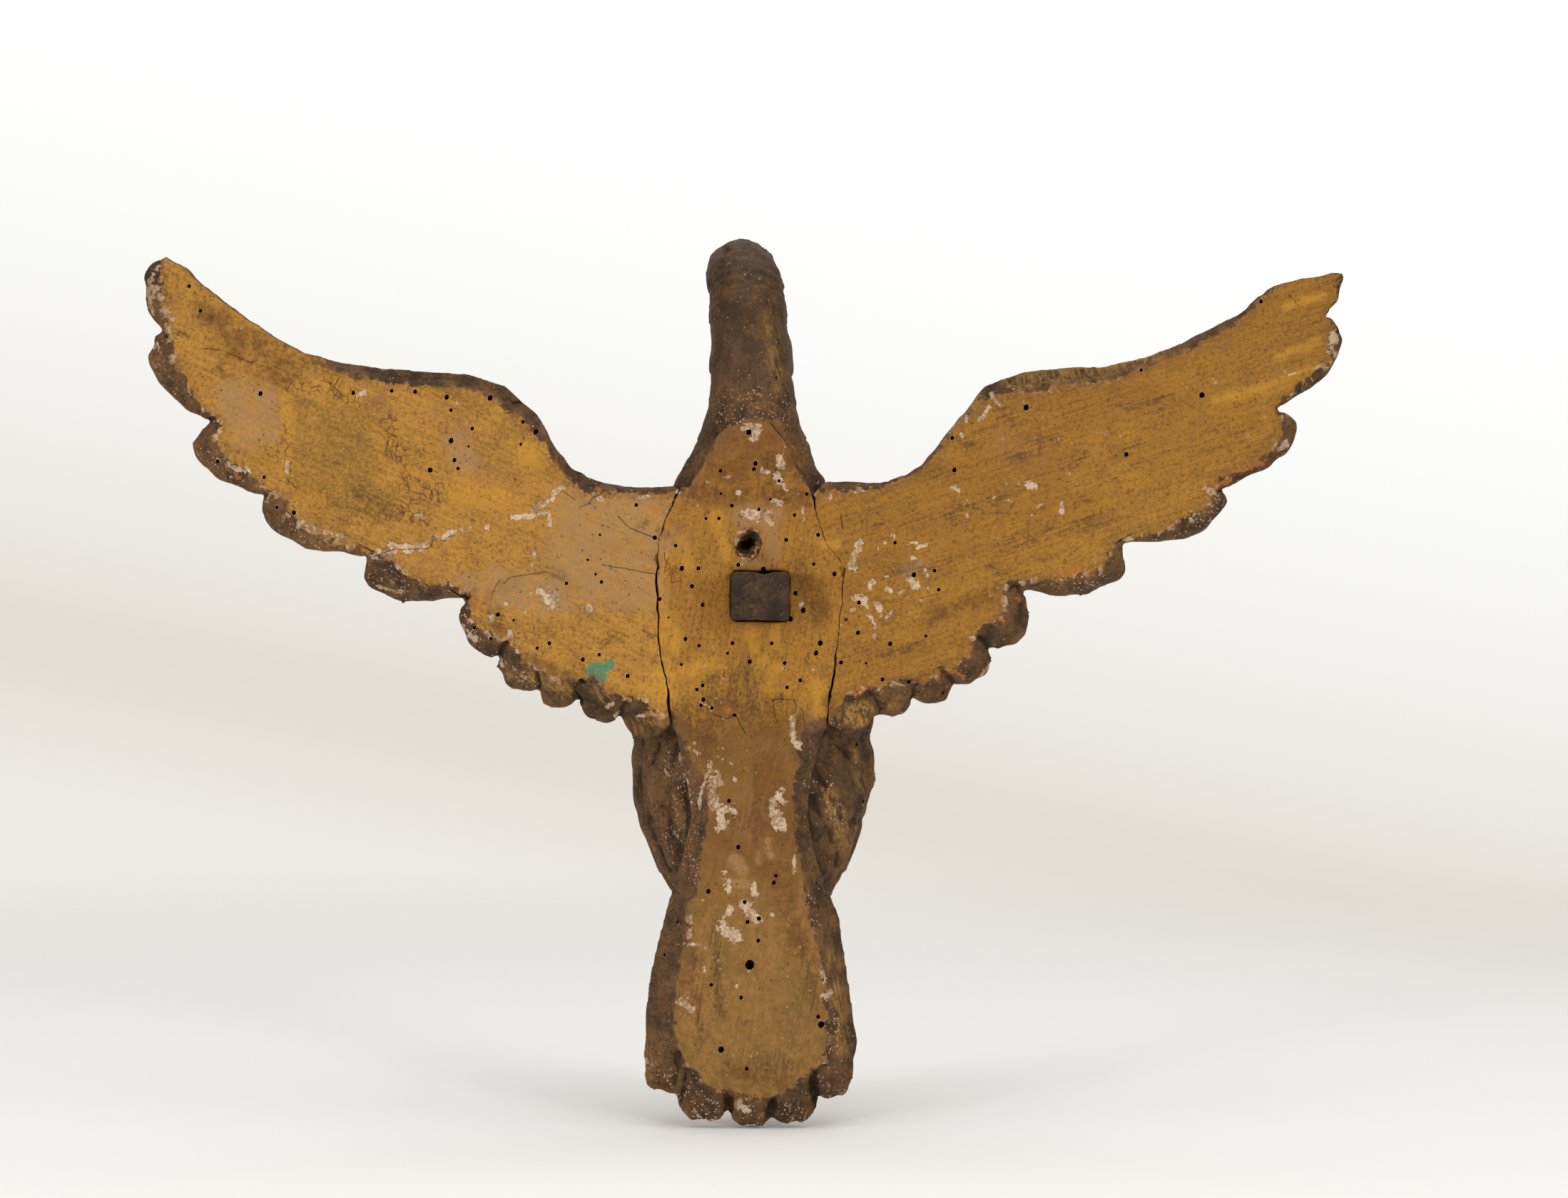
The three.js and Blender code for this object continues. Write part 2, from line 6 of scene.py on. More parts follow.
import bpy
import numpy as np
from bpy.props import FloatProperty, FloatVectorProperty, IntProperty, PointerProperty
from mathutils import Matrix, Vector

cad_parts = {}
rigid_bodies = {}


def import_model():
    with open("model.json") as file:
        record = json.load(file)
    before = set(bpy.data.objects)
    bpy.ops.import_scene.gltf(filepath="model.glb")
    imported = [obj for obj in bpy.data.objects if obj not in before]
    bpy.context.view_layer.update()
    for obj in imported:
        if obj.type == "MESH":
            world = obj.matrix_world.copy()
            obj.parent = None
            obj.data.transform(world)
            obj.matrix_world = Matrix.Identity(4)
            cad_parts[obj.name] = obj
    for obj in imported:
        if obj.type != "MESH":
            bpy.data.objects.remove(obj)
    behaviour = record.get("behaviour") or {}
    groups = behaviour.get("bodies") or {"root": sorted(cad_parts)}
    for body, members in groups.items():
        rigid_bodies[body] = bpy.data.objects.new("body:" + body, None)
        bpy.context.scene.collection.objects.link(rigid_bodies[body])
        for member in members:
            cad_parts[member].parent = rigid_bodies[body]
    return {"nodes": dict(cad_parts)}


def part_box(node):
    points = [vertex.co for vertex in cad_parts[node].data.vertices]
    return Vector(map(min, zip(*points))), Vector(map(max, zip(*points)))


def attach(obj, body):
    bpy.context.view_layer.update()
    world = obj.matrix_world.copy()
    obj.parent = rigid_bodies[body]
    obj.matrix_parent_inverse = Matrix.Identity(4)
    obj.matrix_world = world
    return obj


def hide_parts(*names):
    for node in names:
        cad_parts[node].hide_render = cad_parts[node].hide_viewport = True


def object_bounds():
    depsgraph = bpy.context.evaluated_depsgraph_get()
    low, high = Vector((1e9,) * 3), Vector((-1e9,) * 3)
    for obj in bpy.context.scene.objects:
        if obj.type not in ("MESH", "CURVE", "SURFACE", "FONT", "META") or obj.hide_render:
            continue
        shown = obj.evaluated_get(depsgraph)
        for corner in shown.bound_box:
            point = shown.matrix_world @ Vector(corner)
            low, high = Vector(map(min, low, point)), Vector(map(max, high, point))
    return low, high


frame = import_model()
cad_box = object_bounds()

bl_info = {
    "name": "Gilded Swan Carving",
    "version": (1, 0, 0),
    "blender": (4, 5, 0),
    "location": "View3D > Sidebar > Swan",
    "description": "Carves, paints and gilds a wooden swan with spread wings",
    "category": "Object",
}

# Everything on the carving is written in millimetres, meshes are in metres, and angles in radians.
MM = 0.001
TURN = 2 * math.pi

# The solids' own dimensions, repeated from their source. Places are [sideways, height].
BREAST_CENTRE = (1.2, 58, -35)
BREAST_HALF = (62, 47, 120)
BREAST_POWER = 2.25
BREAST_SET_BACK = {"above": 11, "below": 30}
BREAST_POLES = (0.06, 0.96)
BREAST_ROWS = 7
BREAST_AROUND = 10
BREAST_PROUD = 2.4
BREAST_FEATHER = 38
NECK_STATIONS = [
    (24, 58, 44, 23, 0),
    (24, 80, 38.5, 24, 0),
    (24, 96, 29, 24, 0.5),
    (23.5, 112, 23.5, 22.5, 1.2),
    (24, 132, 20.5, 20.5, 1.8),
    (26.5, 158, 19, 18.5, 1),
    (36, 180, 18.5, 17.5, -2),
    (55, 189.5, 17.5, 16.5, -4.5),
    (72, 178, 17, 15.5, -2),
    (79, 154, 16.5, 15, 1),
]
NECK_ROWS = 10
NECK_AROUND = 6
NECK_PROUD = 1.1
NECK_FEATHER = 26
NECK_FOOT = (84, 93)
HEAD_START = (1, 79, 164)
HEAD_END = (5, 69, 78)
HEAD_STATIONS = [
    (0, 15, 14), (8, 18, 16.5), (22, 20, 19), (35, 17.5, 17), (45, 12.5, 12.5), (54, 10.5, 9.5),
    (66, 10, 7.5), (77, 9.5, 6), (84, 6.5, 4),
]
EYE = {"distance": 25, "forward": 6.5, "radius": 3.6}
TAIL_DEPTH = 19.0
TAIL_ROOT_HEIGHT = -70
TAIL_ROOT_SPACING = 7
LEADING_EDGE = [
    (20, 79), (45, 78.5), (70, 79), (84, 83.5), (95, 94), (104, 109), (114, 122.5), (128, 132), (150, 136),
    (175, 136.5), (197, 139), (226, 147), (260, 167.5), (291, 193),
]
WING_REACH = 300
DEPTH_AT_ROOT = 22
DEPTH_AT_TIP = 13
BOARD_DEPTH = 9
ARM = {"rise": 7, "root": 40, "tip": 17}
ARM_CREST = [(-0.4, 0), (0, 0.42), (0.1, 0.78), (0.4, 1), (0.75, 0.92), (1, 0.6), (1.02, 0)]
FEATHER_BEND = 0.75
SCALLOP = 0.34
BARB_SPACING = 3.1
BARB_SLANT = 0.9

# Places between which something fades in or out: heights, distances sideways or depths.
TAIL_TIPS = (-198, -206)
TAIL_END = (-226, -220)
FLANK_TOP = (-38, -46)
FLANK_FRONT = (10, 16)
WING_TIP = (250, 272)
NICKS_END = (235, 262)
JOINT_REACH = (2.4, 3.6)
CLOSE_BY = (2.5, 5)

# The round ends of the flight feathers, seen from behind.
KNOB = {"length": 60, "round_over": 9, "sunk": 7.5, "crease": 2.6, "below": 120, "sunk_above": 3}
ARM_COVER = {"reach": 34, "share": 0.78}

# How many points each curve is drawn with.
NECK_POINTS, HEAD_POINTS, ARM_POINTS, FEATHER_POINTS = 260, 160, 240, 60

RIGHT_WING = {
    "short": 4.5, "short_from": 40, "short_over": 60,
    "lift": (2, 6), "lift_from": -40, "lift_over": 150, "lift_span": 90,
}


def feather(tip, heading, half_width, tip_length, root=None):
    """One long feather of a wing or the tail, laid from its root to its tip."""
    return {
        "tip": np.array(tip, float),
        "heading": heading,
        "half_width": half_width,
        "tip_length": tip_length,
        "root": None if root is None else np.array(root, float),
    }


FLIGHT_FEATHERS = [
    feather((299.5, 181), 40, 15.5, 14, (195, 110)),
    feather((299, 150.5), 35, 19, 26, (170, 108)),
    feather((277.5, 105), 27, 17.5, 19, (145, 104)),
    feather((245, 70.5), 18, 17.5, 26, (122, 90)),
    feather((194.5, 37.5), 8, 17, 20, (105, 73)),
    feather((146, 6), -15, 20, 21, (92, 64)),
    feather((119, -22.5), -50, 15.5, 14, (82, 58)),
    feather((98.5, -32.5), -65, 13.5, 12, (70, 52)),
    feather((76.5, -41), -70, 14, 12, (60, 48)),
    feather((53.5, -49.5), -80, 14.5, 15, (50, 46)),
]
TAIL_FEATHERS = [
    feather((-44.5, -227), -104, 13.5, 10),
    feather((-23.5, -241.5), -97, 15, 13),
    feather((2, -244), -90, 13.5, 11),
    feather((23, -242.5), -84, 13.5, 13),
    feather((44, -230), -77, 12.5, 13),
]
FEATHER_ROWS = [(1, 0, 0), (0.66, 0.5, 3), (0.42, 0, 5.5)]
TAIL_ROWS = [(1, 0, 0), (0.72, 0.5, 5)]

# Marks on the back are read off the photograph in its pixels, as strokes: two ends and half a width.
PHOTO_ORIGIN = np.array([1050.0, 900.0])
MM_PER_PIXEL = 0.35645

# How many pixels a line wanders about at random: the edge of the paint, a groove, a mark and a crack.
EDGE_WANDER, GROOVE_WANDER, MARK_WANDER, CRACK_WANDER = 4, 3, 3, 2

# A groove down the root of the tail: its column and half width, and the rows where it starts and ends.
ROOT_GROOVE = {"column": 1062, "half": 5, "start": (1040, 1075), "end": (1110, 1150)}

# The edges of the ochre paint on the two wings and on the block with the tail.
LEFT_PAINT = [
    (990, 692), (870, 692), (826, 690), (812, 682), (798, 670), (784, 657), (770, 640), (756, 613),
    (738, 595), (719, 579), (695, 564), (677, 552), (653, 546), (604, 541), (559, 538), (513, 532),
    (483, 523), (459, 513), (440, 500), (425, 482), (340, 425), (268, 372), (244, 352), (226, 354),
    (222, 372), (224, 410), (231, 440), (238, 462), (240, 490), (246, 512), (257, 532), (272, 555),
    (290, 576), (310, 592), (302, 612), (308, 630), (322, 645), (340, 662), (362, 678), (385, 692),
    (400, 702), (404, 718), (415, 730), (432, 742), (455, 755), (480, 762), (505, 769), (522, 775),
    (545, 785), (559, 798), (573, 809), (593, 818), (620, 820), (640, 826), (660, 826), (658, 845),
    (662, 868), (676, 881), (696, 890), (710, 899), (720, 908), (726, 920), (738, 930), (754, 938),
    (766, 945), (780, 951), (798, 955), (820, 953), (829, 950), (843, 961), (854, 970), (868, 977),
    (887, 975), (906, 984), (921, 998), (938, 1010), (960, 1016), (1000, 1010),
]
RIGHT_PAINT = [
    (1100, 689), (1148, 688), (1201, 689), (1232, 681), (1255, 673), (1282, 661), (1302, 647), (1321, 628),
    (1334, 607), (1350, 588), (1371, 569), (1390, 557), (1417, 551), (1448, 547), (1486, 542), (1525, 537),
    (1563, 531), (1594, 521), (1621, 510), (1659, 494), (1698, 474), (1725, 458), (1755, 434), (1775, 398),
    (1794, 385), (1844, 375), (1884, 372), (1892, 380), (1877, 396), (1871, 417), (1858, 440), (1864, 450),
    (1871, 463), (1865, 480), (1866, 500), (1858, 511), (1832, 533), (1809, 552), (1792, 566), (1791, 577),
    (1799, 591), (1798, 606), (1790, 621), (1775, 637), (1755, 652), (1732, 664), (1712, 676), (1699, 692),
    (1694, 710), (1678, 721), (1659, 729), (1640, 737), (1621, 746), (1601, 752), (1582, 757), (1560, 768),
    (1549, 780), (1545, 795), (1525, 805), (1500, 811), (1475, 812), (1450, 813), (1431, 814), (1416, 819),
    (1411, 832), (1409, 855), (1400, 869), (1387, 876), (1375, 884), (1367, 891), (1364, 902), (1359, 914),
    (1350, 929), (1338, 937), (1320, 936), (1312, 942), (1304, 954), (1296, 960), (1284, 959), (1272, 955),
    (1260, 955), (1247, 959), (1235, 964), (1213, 961), (1203, 963), (1193, 972), (1184, 984), (1173, 1000),
    (1160, 1014), (1100, 1014),
]
BLOCK_PAINT = [
    (1011, 602), (1027, 595), (1043, 591), (1060, 590), (1077, 587), (1093, 591), (1104, 601), (1115, 622),
    (1124, 640), (1130, 658), (1134, 673), (1150, 684), (1230, 690), (1230, 990), (1156, 1006), (1140, 1008),
    (1134, 1012), (1126, 1030), (1120, 1050), (1118, 1079), (1114, 1108), (1112, 1138), (1115, 1167),
    (1120, 1196), (1124, 1232), (1128, 1255), (1134, 1285), (1142, 1314), (1149, 1343), (1155, 1373),
    (1158, 1402), (1161, 1432), (1161, 1461), (1156, 1488), (1144, 1501), (1130, 1506), (1115, 1517),
    (1098, 1528), (1080, 1534), (1062, 1539), (1045, 1537), (1027, 1528), (1012, 1533), (997, 1525),
    (980, 1511), (965, 1496), (956, 1479), (949, 1455), (946, 1426), (949, 1396), (951, 1367), (954, 1338),
    (962, 1314), (971, 1270), (978, 1238), (983, 1202), (989, 1167), (992, 1138), (996, 1108), (984, 1085),
    (972, 1062), (956, 1038), (946, 1020), (942, 1006), (935, 1003), (870, 990), (870, 690), (957, 685),
    (971, 676), (979, 662), (985, 648), (993, 637), (1002, 620),
]

LOSSES = [
    (1044, 601, 1062, 600, 5), (1062, 602, 1060, 612, 5), (1052, 614, 1058, 616, 4),
    (1091, 640, 1096, 656, 5), (1066, 660, 1082, 661, 3), (1086, 665, 1092, 676, 5),
    (1093, 668, 1104, 686, 4), (1034, 690, 1035, 691, 4), (1082, 701, 1096, 707, 4),
    (1043, 720, 1060, 721, 7), (1066, 716, 1078, 720, 4), (1074, 724, 1082, 734, 4),
    (1015, 665, 1021, 669, 2.6), (1127, 712, 1128, 729, 2), (1139, 689, 1139, 693, 3),
    (1163, 695, 1164, 700, 3), (1120, 849, 1128, 844, 3), (1111, 1006, 1113, 1034, 4),
    (1115, 1040, 1121, 1051, 3), (982, 984, 996, 995, 3), (997, 1068, 998, 1085, 4),
    (1004, 1082, 1008, 1100, 5), (1000, 1100, 1000, 1128, 8), (1006, 1130, 1012, 1156, 7),
    (1018, 1136, 1030, 1140, 4), (990, 1085, 984, 1110, 2), (984, 1110, 981, 1138, 2.4),
    (1083, 1122, 1084, 1150, 5), (1092, 1114, 1096, 1125, 6), (1090, 1140, 1094, 1160, 7),
    (1060, 1083, 1064, 1084, 3), (1030, 1090, 1031, 1091, 2.5), (1012, 1221, 1018, 1221, 3),
    (1021, 1237, 1021, 1252, 5), (1056, 1240, 1055, 1255, 4), (1047, 1270, 1058, 1290, 8),
    (1024, 1273, 1022, 1284, 4), (1012, 1300, 1034, 1313, 9), (968, 1285, 966, 1311, 3.5),
    (962, 1323, 980, 1323, 3), (988, 1329, 993, 1329, 3), (1083, 1284, 1083, 1286, 4),
    (986, 1358, 986, 1362, 3), (955, 1402, 966, 1412, 6), (1153, 1358, 1155, 1373, 4.5),
    (1152, 1396, 1164, 1392, 4.5), (1158, 1396, 1158, 1402, 4), (1113, 1199, 1114, 1222, 2),
    (1034, 1382, 1034, 1388, 3), (950, 1060, 957, 1078, 3), (958, 1086, 962, 1100, 3),
    (975, 1050, 979, 1058, 2.4), (930, 1080, 936, 1090, 2.4), (962, 1118, 968, 1126, 3),
    (940, 1166, 948, 1180, 2.4), (1172, 1138, 1176, 1152, 5), (1122, 1040, 1126, 1048, 3),
    (756, 828, 774, 836, 4), (768, 840, 776, 852, 7), (776, 834, 780, 842, 5), (720, 726, 768, 718, 4),
    (748, 715, 773, 701, 4), (776, 695, 790, 682, 5), (768, 720, 769, 737, 3), (747, 774, 747, 779, 3),
    (748, 786, 748, 790, 2.6), (684, 736, 684, 739, 4), (650, 743, 658, 742, 3.6), (632, 748, 640, 745, 3.4),
    (622, 756, 630, 753, 3), (608, 748, 612, 752, 4), (545, 767, 600, 763, 4.5), (570, 772, 592, 768, 4),
    (523, 777, 550, 771, 5), (543, 817, 546, 819, 4), (558, 829, 562, 831, 4), (523, 820, 550, 829, 2.6),
    (709, 843, 710, 846, 3), (686, 864, 688, 868, 4), (715, 888, 716, 897, 3), (723, 911, 726, 919, 3),
    (657, 888, 662, 894, 6), (646, 876, 648, 886, 2.6), (815, 850, 815, 855, 2.4), (826, 853, 828, 855, 4),
    (852, 992, 857, 987, 3.6), (861, 1007, 867, 1000, 3.6), (896, 1002, 903, 1003, 2.4),
    (890, 696, 909, 696, 3), (829, 692, 843, 700, 4), (946, 690, 951, 692, 3), (881, 722, 882, 724, 2.4),
    (503, 553, 511, 551, 4), (222, 372, 207, 394, 5), (209, 400, 213, 440, 6), (215, 401, 217, 404, 5),
    (233, 438, 239, 445, 5), (214, 489, 218, 486, 3.4), (219, 481, 221, 482, 2.4), (230, 460, 237, 464, 3),
    (318, 652, 345, 663, 4), (424, 732, 450, 744, 3.4), (455, 747, 486, 755, 3.4), (403, 648, 402, 662, 4),
    (585, 722, 590, 723, 3), (1203, 764, 1198, 782, 5.5), (1198, 782, 1194, 796, 5.5),
    (1250, 751, 1253, 756, 2.2), (1241, 758, 1242, 760, 2), (1230, 771, 1233, 765, 2.4),
    (1271, 763, 1284, 760, 2), (1283, 767, 1296, 766, 2.6), (1277, 784, 1280, 784, 2),
    (1219, 822, 1224, 818, 4), (1241, 808, 1246, 809, 3), (1244, 824, 1248, 828, 3.4),
    (1260, 832, 1268, 829, 3), (1297, 799, 1300, 804, 3), (1279, 812, 1283, 819, 6),
    (1198, 841, 1212, 841, 5), (1212, 848, 1216, 852, 3), (1195, 856, 1199, 858, 4),
    (1229, 849, 1233, 855, 5.5), (1221, 866, 1226, 879, 2.8), (1242, 865, 1247, 860, 3.4),
    (1226, 893, 1228, 898, 2.6), (1355, 725, 1357, 727, 2.6), (1456, 711, 1460, 707, 2.2),
    (1441, 721, 1444, 721, 2), (1488, 706, 1488, 720, 4), (1339, 682, 1341, 688, 5),
    (1443, 681, 1449, 682, 5), (1411, 679, 1411, 684, 2), (1392, 699, 1396, 698, 2.2),
    (1412, 704, 1419, 703, 2.2), (1390, 551, 1393, 560, 3), (1393, 560, 1404, 568, 2.6),
    (1371, 590, 1386, 571, 2.6), (1355, 584, 1355, 590, 2.6), (1347, 608, 1350, 612, 3),
    (1201, 688, 1213, 687, 4), (1870, 467, 1873, 478, 6), (1866, 488, 1875, 495, 6),
    (1798, 628, 1803, 620, 5), (1694, 686, 1704, 694, 5), (1808, 527, 1818, 523, 3),
    (1378, 946, 1386, 936, 4), (1035, 1548, 1050, 1556, 6), (1110, 1570, 1112, 1571, 4),
    (970, 1560, 985, 1572, 3), (1042, 1584, 1068, 1584, 2.4), (1000, 1573, 1008, 1574, 3),
    (1106, 1579, 1120, 1577, 2.4), (893, 1004, 905, 1005, 2.2), (700, 924, 702, 934, 3),
    (1058, 742, 1064, 758, 3), (1036, 790, 1052, 788, 2.4), (900, 1490, 915, 1497, 4),
]
GREY_REPAIRS = [
    (800, 716, 905, 715, 24), (820, 742, 850, 745, 28), (790, 770, 830, 820, 26), (880, 770, 910, 830, 20),
    (700, 815, 780, 825, 16), (640, 815, 700, 825, 10), (895, 735, 925, 760, 20), (805, 775, 850, 795, 16),
    (860, 800, 915, 812, 10), (858, 838, 900, 836, 14), (700, 838, 760, 828, 14), (760, 855, 790, 850, 12),
    (735, 848, 752, 842, 12), (545, 782, 556, 792, 9), (285, 614, 312, 641, 8), (225, 500, 250, 545, 9),
    (330, 560, 350, 600, 24), (370, 560, 375, 600, 16), (640, 622, 655, 648, 14), (1040, 722, 1080, 722, 14),
    (1030, 1206, 1041, 1220, 7), (1062, 1198, 1063, 1208, 5), (1076, 1180, 1078, 1200, 4),
    (1020, 1236, 1046, 1240, 7), (1043, 784, 1062, 790, 7), (1075, 735, 1085, 780, 9),
    (372, 700, 390, 704, 10), (1270, 800, 1290, 790, 8),
]
DIRT = [
    (1000, 955, 1060, 950, 15), (1005, 975, 1050, 972, 14), (985, 975, 980, 1000, 10),
    (1040, 992, 1062, 990, 12), (1096, 978, 1118, 986, 6), (955, 1010, 985, 1030, 20),
    (1118, 1020, 1122, 1060, 12), (958, 915, 956, 925, 6), (1085, 918, 1092, 922, 6),
    (1130, 925, 1134, 935, 5), (1064, 1492, 1090, 1500, 10), (1095, 1488, 1105, 1496, 11),
    (1036, 1430, 1052, 1434, 4), (309, 512, 313, 528, 5), (324, 526, 326, 528, 5), (290, 446, 297, 448, 5),
    (697, 858, 700, 866, 9), (500, 700, 540, 715, 20), (1010, 570, 1090, 565, 14),
    (1030, 1150, 1060, 1150, 18), (960, 690, 985, 680, 8), (1105, 610, 1125, 660, 12),
    (905, 730, 895, 742, 6), (925, 745, 935, 750, 6), (1062, 770, 1070, 780, 6), (1345, 622, 1365, 626, 9),
    (1300, 660, 1325, 665, 9), (1395, 575, 1420, 585, 8), (1390, 795, 1420, 812, 9),
    (1470, 745, 1540, 728, 9), (1400, 770, 1450, 755, 8), (1420, 640, 1480, 615, 10),
    (1600, 620, 1560, 640, 8), (1520, 640, 1500, 650, 8), (1575, 570, 1640, 558, 6),
    (1240, 915, 1290, 905, 6), (1240, 800, 1330, 790, 8), (1330, 720, 1400, 700, 12),
    (1560, 485, 1700, 470, 8), (430, 505, 470, 520, 8), (230, 410, 238, 425, 7), (222, 380, 228, 386, 5),
    (252, 465, 258, 470, 4), (760, 800, 790, 808, 6), (790, 960, 815, 958, 6), (905, 880, 915, 895, 5),
    (845, 900, 870, 890, 8), (1000, 1300, 1010, 1420, 8), (1130, 1330, 1145, 1420, 9),
    (975, 1340, 985, 1460, 8),
]
REDDISH = [
    (521, 556, 538, 575, 13), (662, 640, 690, 672, 12), (590, 690, 604, 708, 8), (1405, 625, 1450, 640, 18),
    (1028, 992, 1048, 996, 9), (1020, 620, 1080, 620, 20), (1100, 640, 1118, 670, 12),
    (963, 745, 970, 760, 10), (1043, 745, 1055, 742, 8), (800, 765, 830, 770, 10),
    (1040, 1110, 1060, 1180, 16), (1000, 1180, 1090, 1185, 14), (955, 1350, 975, 1400, 12),
    (1128, 1270, 1140, 1330, 9), (752, 800, 768, 806, 6), (590, 792, 620, 796, 8), (1050, 868, 1056, 872, 5),
    (620, 580, 650, 610, 14),
]
KNOT_CORE = [(1041, 767, 1056, 752, 9), (1046, 770, 1050, 764, 6)]
KNOT_RIM = [
    (1034, 762, 1037, 748, 4), (1037, 748, 1047, 742, 3.5), (1047, 742, 1056, 743, 3),
    (1062, 768, 1056, 778, 3), (1050, 783, 1040, 784, 3), (1036, 770, 1040, 776, 2.5),
]
YELLOW = [
    (934, 765, 936, 800, 7), (938, 870, 942, 905, 11), (922, 950, 935, 975, 8), (1155, 765, 1172, 764, 6),
    (1148, 960, 1150, 1000, 9), (1052, 880, 1056, 910, 7), (1085, 885, 1088, 935, 7),
    (1072, 925, 1076, 960, 8), (1708, 562, 1800, 535, 7), (1800, 535, 1848, 516, 8),
    (1790, 502, 1850, 478, 5), (1800, 432, 1856, 414, 5), (985, 640, 980, 660, 5), (956, 760, 962, 790, 8),
    (450, 545, 500, 560, 10), (400, 560, 408, 600, 7), (900, 970, 925, 985, 8), (1003, 725, 1020, 780, 8),
    (960, 940, 1000, 935, 9), (930, 800, 929, 900, 6), (936, 930, 944, 990, 7), (780, 600, 740, 640, 16),
    (640, 690, 700, 700, 16),
]
BOLE_SPOTS = [
    (913, 710, 921, 716, 7), (264, 526, 270, 530, 5), (328, 664, 334, 669, 4), (767, 858, 780, 862, 5),
    (1150, 1108, 1152, 1110, 3), (1160, 1108, 1162, 1110, 2), (1198, 972, 1212, 963, 6),
    (874, 766, 876, 768, 3), (922, 838, 923, 850, 3), (925, 900, 926, 906, 3), (835, 684, 840, 688, 4),
    (1404, 868, 1408, 872, 4), (1312, 944, 1338, 940, 5), (1360, 905, 1355, 922, 4),
    (1345, 945, 1350, 950, 4), (1428, 840, 1431, 843, 3), (1780, 574, 1790, 578, 5),
    (1740, 660, 1770, 648, 6), (1710, 678, 1725, 672, 5), (1470, 806, 1520, 800, 4),
    (1445, 760, 1450, 762, 2), (660, 845, 664, 870, 3), (905, 1000, 935, 1003, 3),
]
# Strokes where the paint turns brown: stains, the block browner towards its top, and the peg's painted shadow
# from (1120, 800) to (1150, 858).
BROWN_AND_SHADE = [
    (1015, 612, 1085, 608, 20), (985, 650, 1120, 655, 18), (975, 690, 1130, 700, 12),
    (1000, 1000, 1080, 1005, 22), (960, 1012, 985, 1050, 22), (1122, 1018, 1130, 1060, 14),
    (1075, 1075, 1100, 1180, 16), (1062, 1080, 1062, 1200, 6), (1000, 1170, 1100, 1230, 12),
    (1095, 1240, 1120, 1330, 14), (955, 1300, 965, 1400, 12), (945, 1000, 955, 1010, 10),
    (1160, 985, 1168, 1000, 8), (1270, 960, 1330, 945, 7), (1405, 830, 1412, 860, 8), (740, 925, 800, 950, 7),
    (690, 835, 720, 815, 10), (690, 860, 705, 880, 9), (330, 480, 400, 520, 22), (285, 440, 340, 470, 14),
    (1120, 800, 1150, 858, 12), (1290, 870, 1400, 830, 8), (1020, 1500, 1100, 1520, 10),
]
RUBBED = [
    (890, 1018, 922, 1008, 13), (768, 958, 788, 972, 12), (720, 948, 742, 950, 9), (1250, 990, 1262, 984, 7),
    (838, 968, 850, 980, 8), (1165, 1120, 1185, 1190, 12), (1420, 538, 1620, 496, 12),
    (1370, 562, 1330, 620, 9), (1166, 1340, 1182, 1480, 9), (1078, 440, 1094, 545, 11),
    (1198, 1060, 1210, 1110, 7),
]
GOLDEN = [(1188, 1004, 1213, 995, 14), (1200, 1014, 1211, 1010, 8)]
SPECKS = [
    (1020, 560, 1090, 575, 22), (1010, 585, 1080, 590, 9), (935, 1065, 965, 1110, 14),
    (940, 1180, 965, 1215, 14), (1165, 1125, 1180, 1165, 11), (1135, 1100, 1165, 1110, 10),
    (905, 1490, 935, 1512, 14), (965, 1545, 1005, 1560, 14), (1040, 1550, 1065, 1575, 12),
    (1095, 1555, 1120, 1572, 12), (1165, 1480, 1170, 1530, 12), (655, 855, 665, 915, 12),
    (520, 795, 570, 830, 16), (1640, 742, 1700, 715, 14), (400, 745, 470, 760, 14), (205, 480, 235, 550, 14),
    (280, 640, 330, 665, 12), (1480, 822, 1540, 812, 10), (945, 1130, 970, 1170, 10),
    (1128, 1250, 1145, 1300, 8), (1160, 1400, 1175, 1500, 9), (700, 930, 745, 960, 12),
]
GREEN_DAB = [
    (829, 940, 840, 936, 8), (832, 947, 842, 948, 8), (847, 938, 853, 934, 4.6), (852, 931, 859, 930, 4.6),
]
CANVAS_PATCH = [(446, 590, 490, 586, 42), (440, 650, 500, 650, 46), (480, 690, 530, 700, 30)]
CRACKLE = [
    (462, 542, 500, 560, 14), (545, 596, 556, 640, 16), (570, 680, 612, 690, 20), (402, 664, 414, 680, 10),
    (400, 542, 456, 545, 9), (562, 640, 580, 700, 13), (560, 710, 590, 730, 12), (400, 600, 404, 640, 8),
    (940, 790, 946, 810, 10), (1080, 640, 1090, 700, 14),
]

MARKS = {
    "loss": LOSSES, "repair": GREY_REPAIRS, "dirt": DIRT, "reddish": REDDISH, "yellow": YELLOW,
    "knot_core": KNOT_CORE, "knot_rim": KNOT_RIM, "browned": BROWN_AND_SHADE, "rubbed": RUBBED, "golden": GOLDEN,
    "specks": SPECKS, "bole": BOLE_SPOTS, "green": GREEN_DAB, "canvas": CANVAS_PATCH, "crackle": CRACKLE,
}

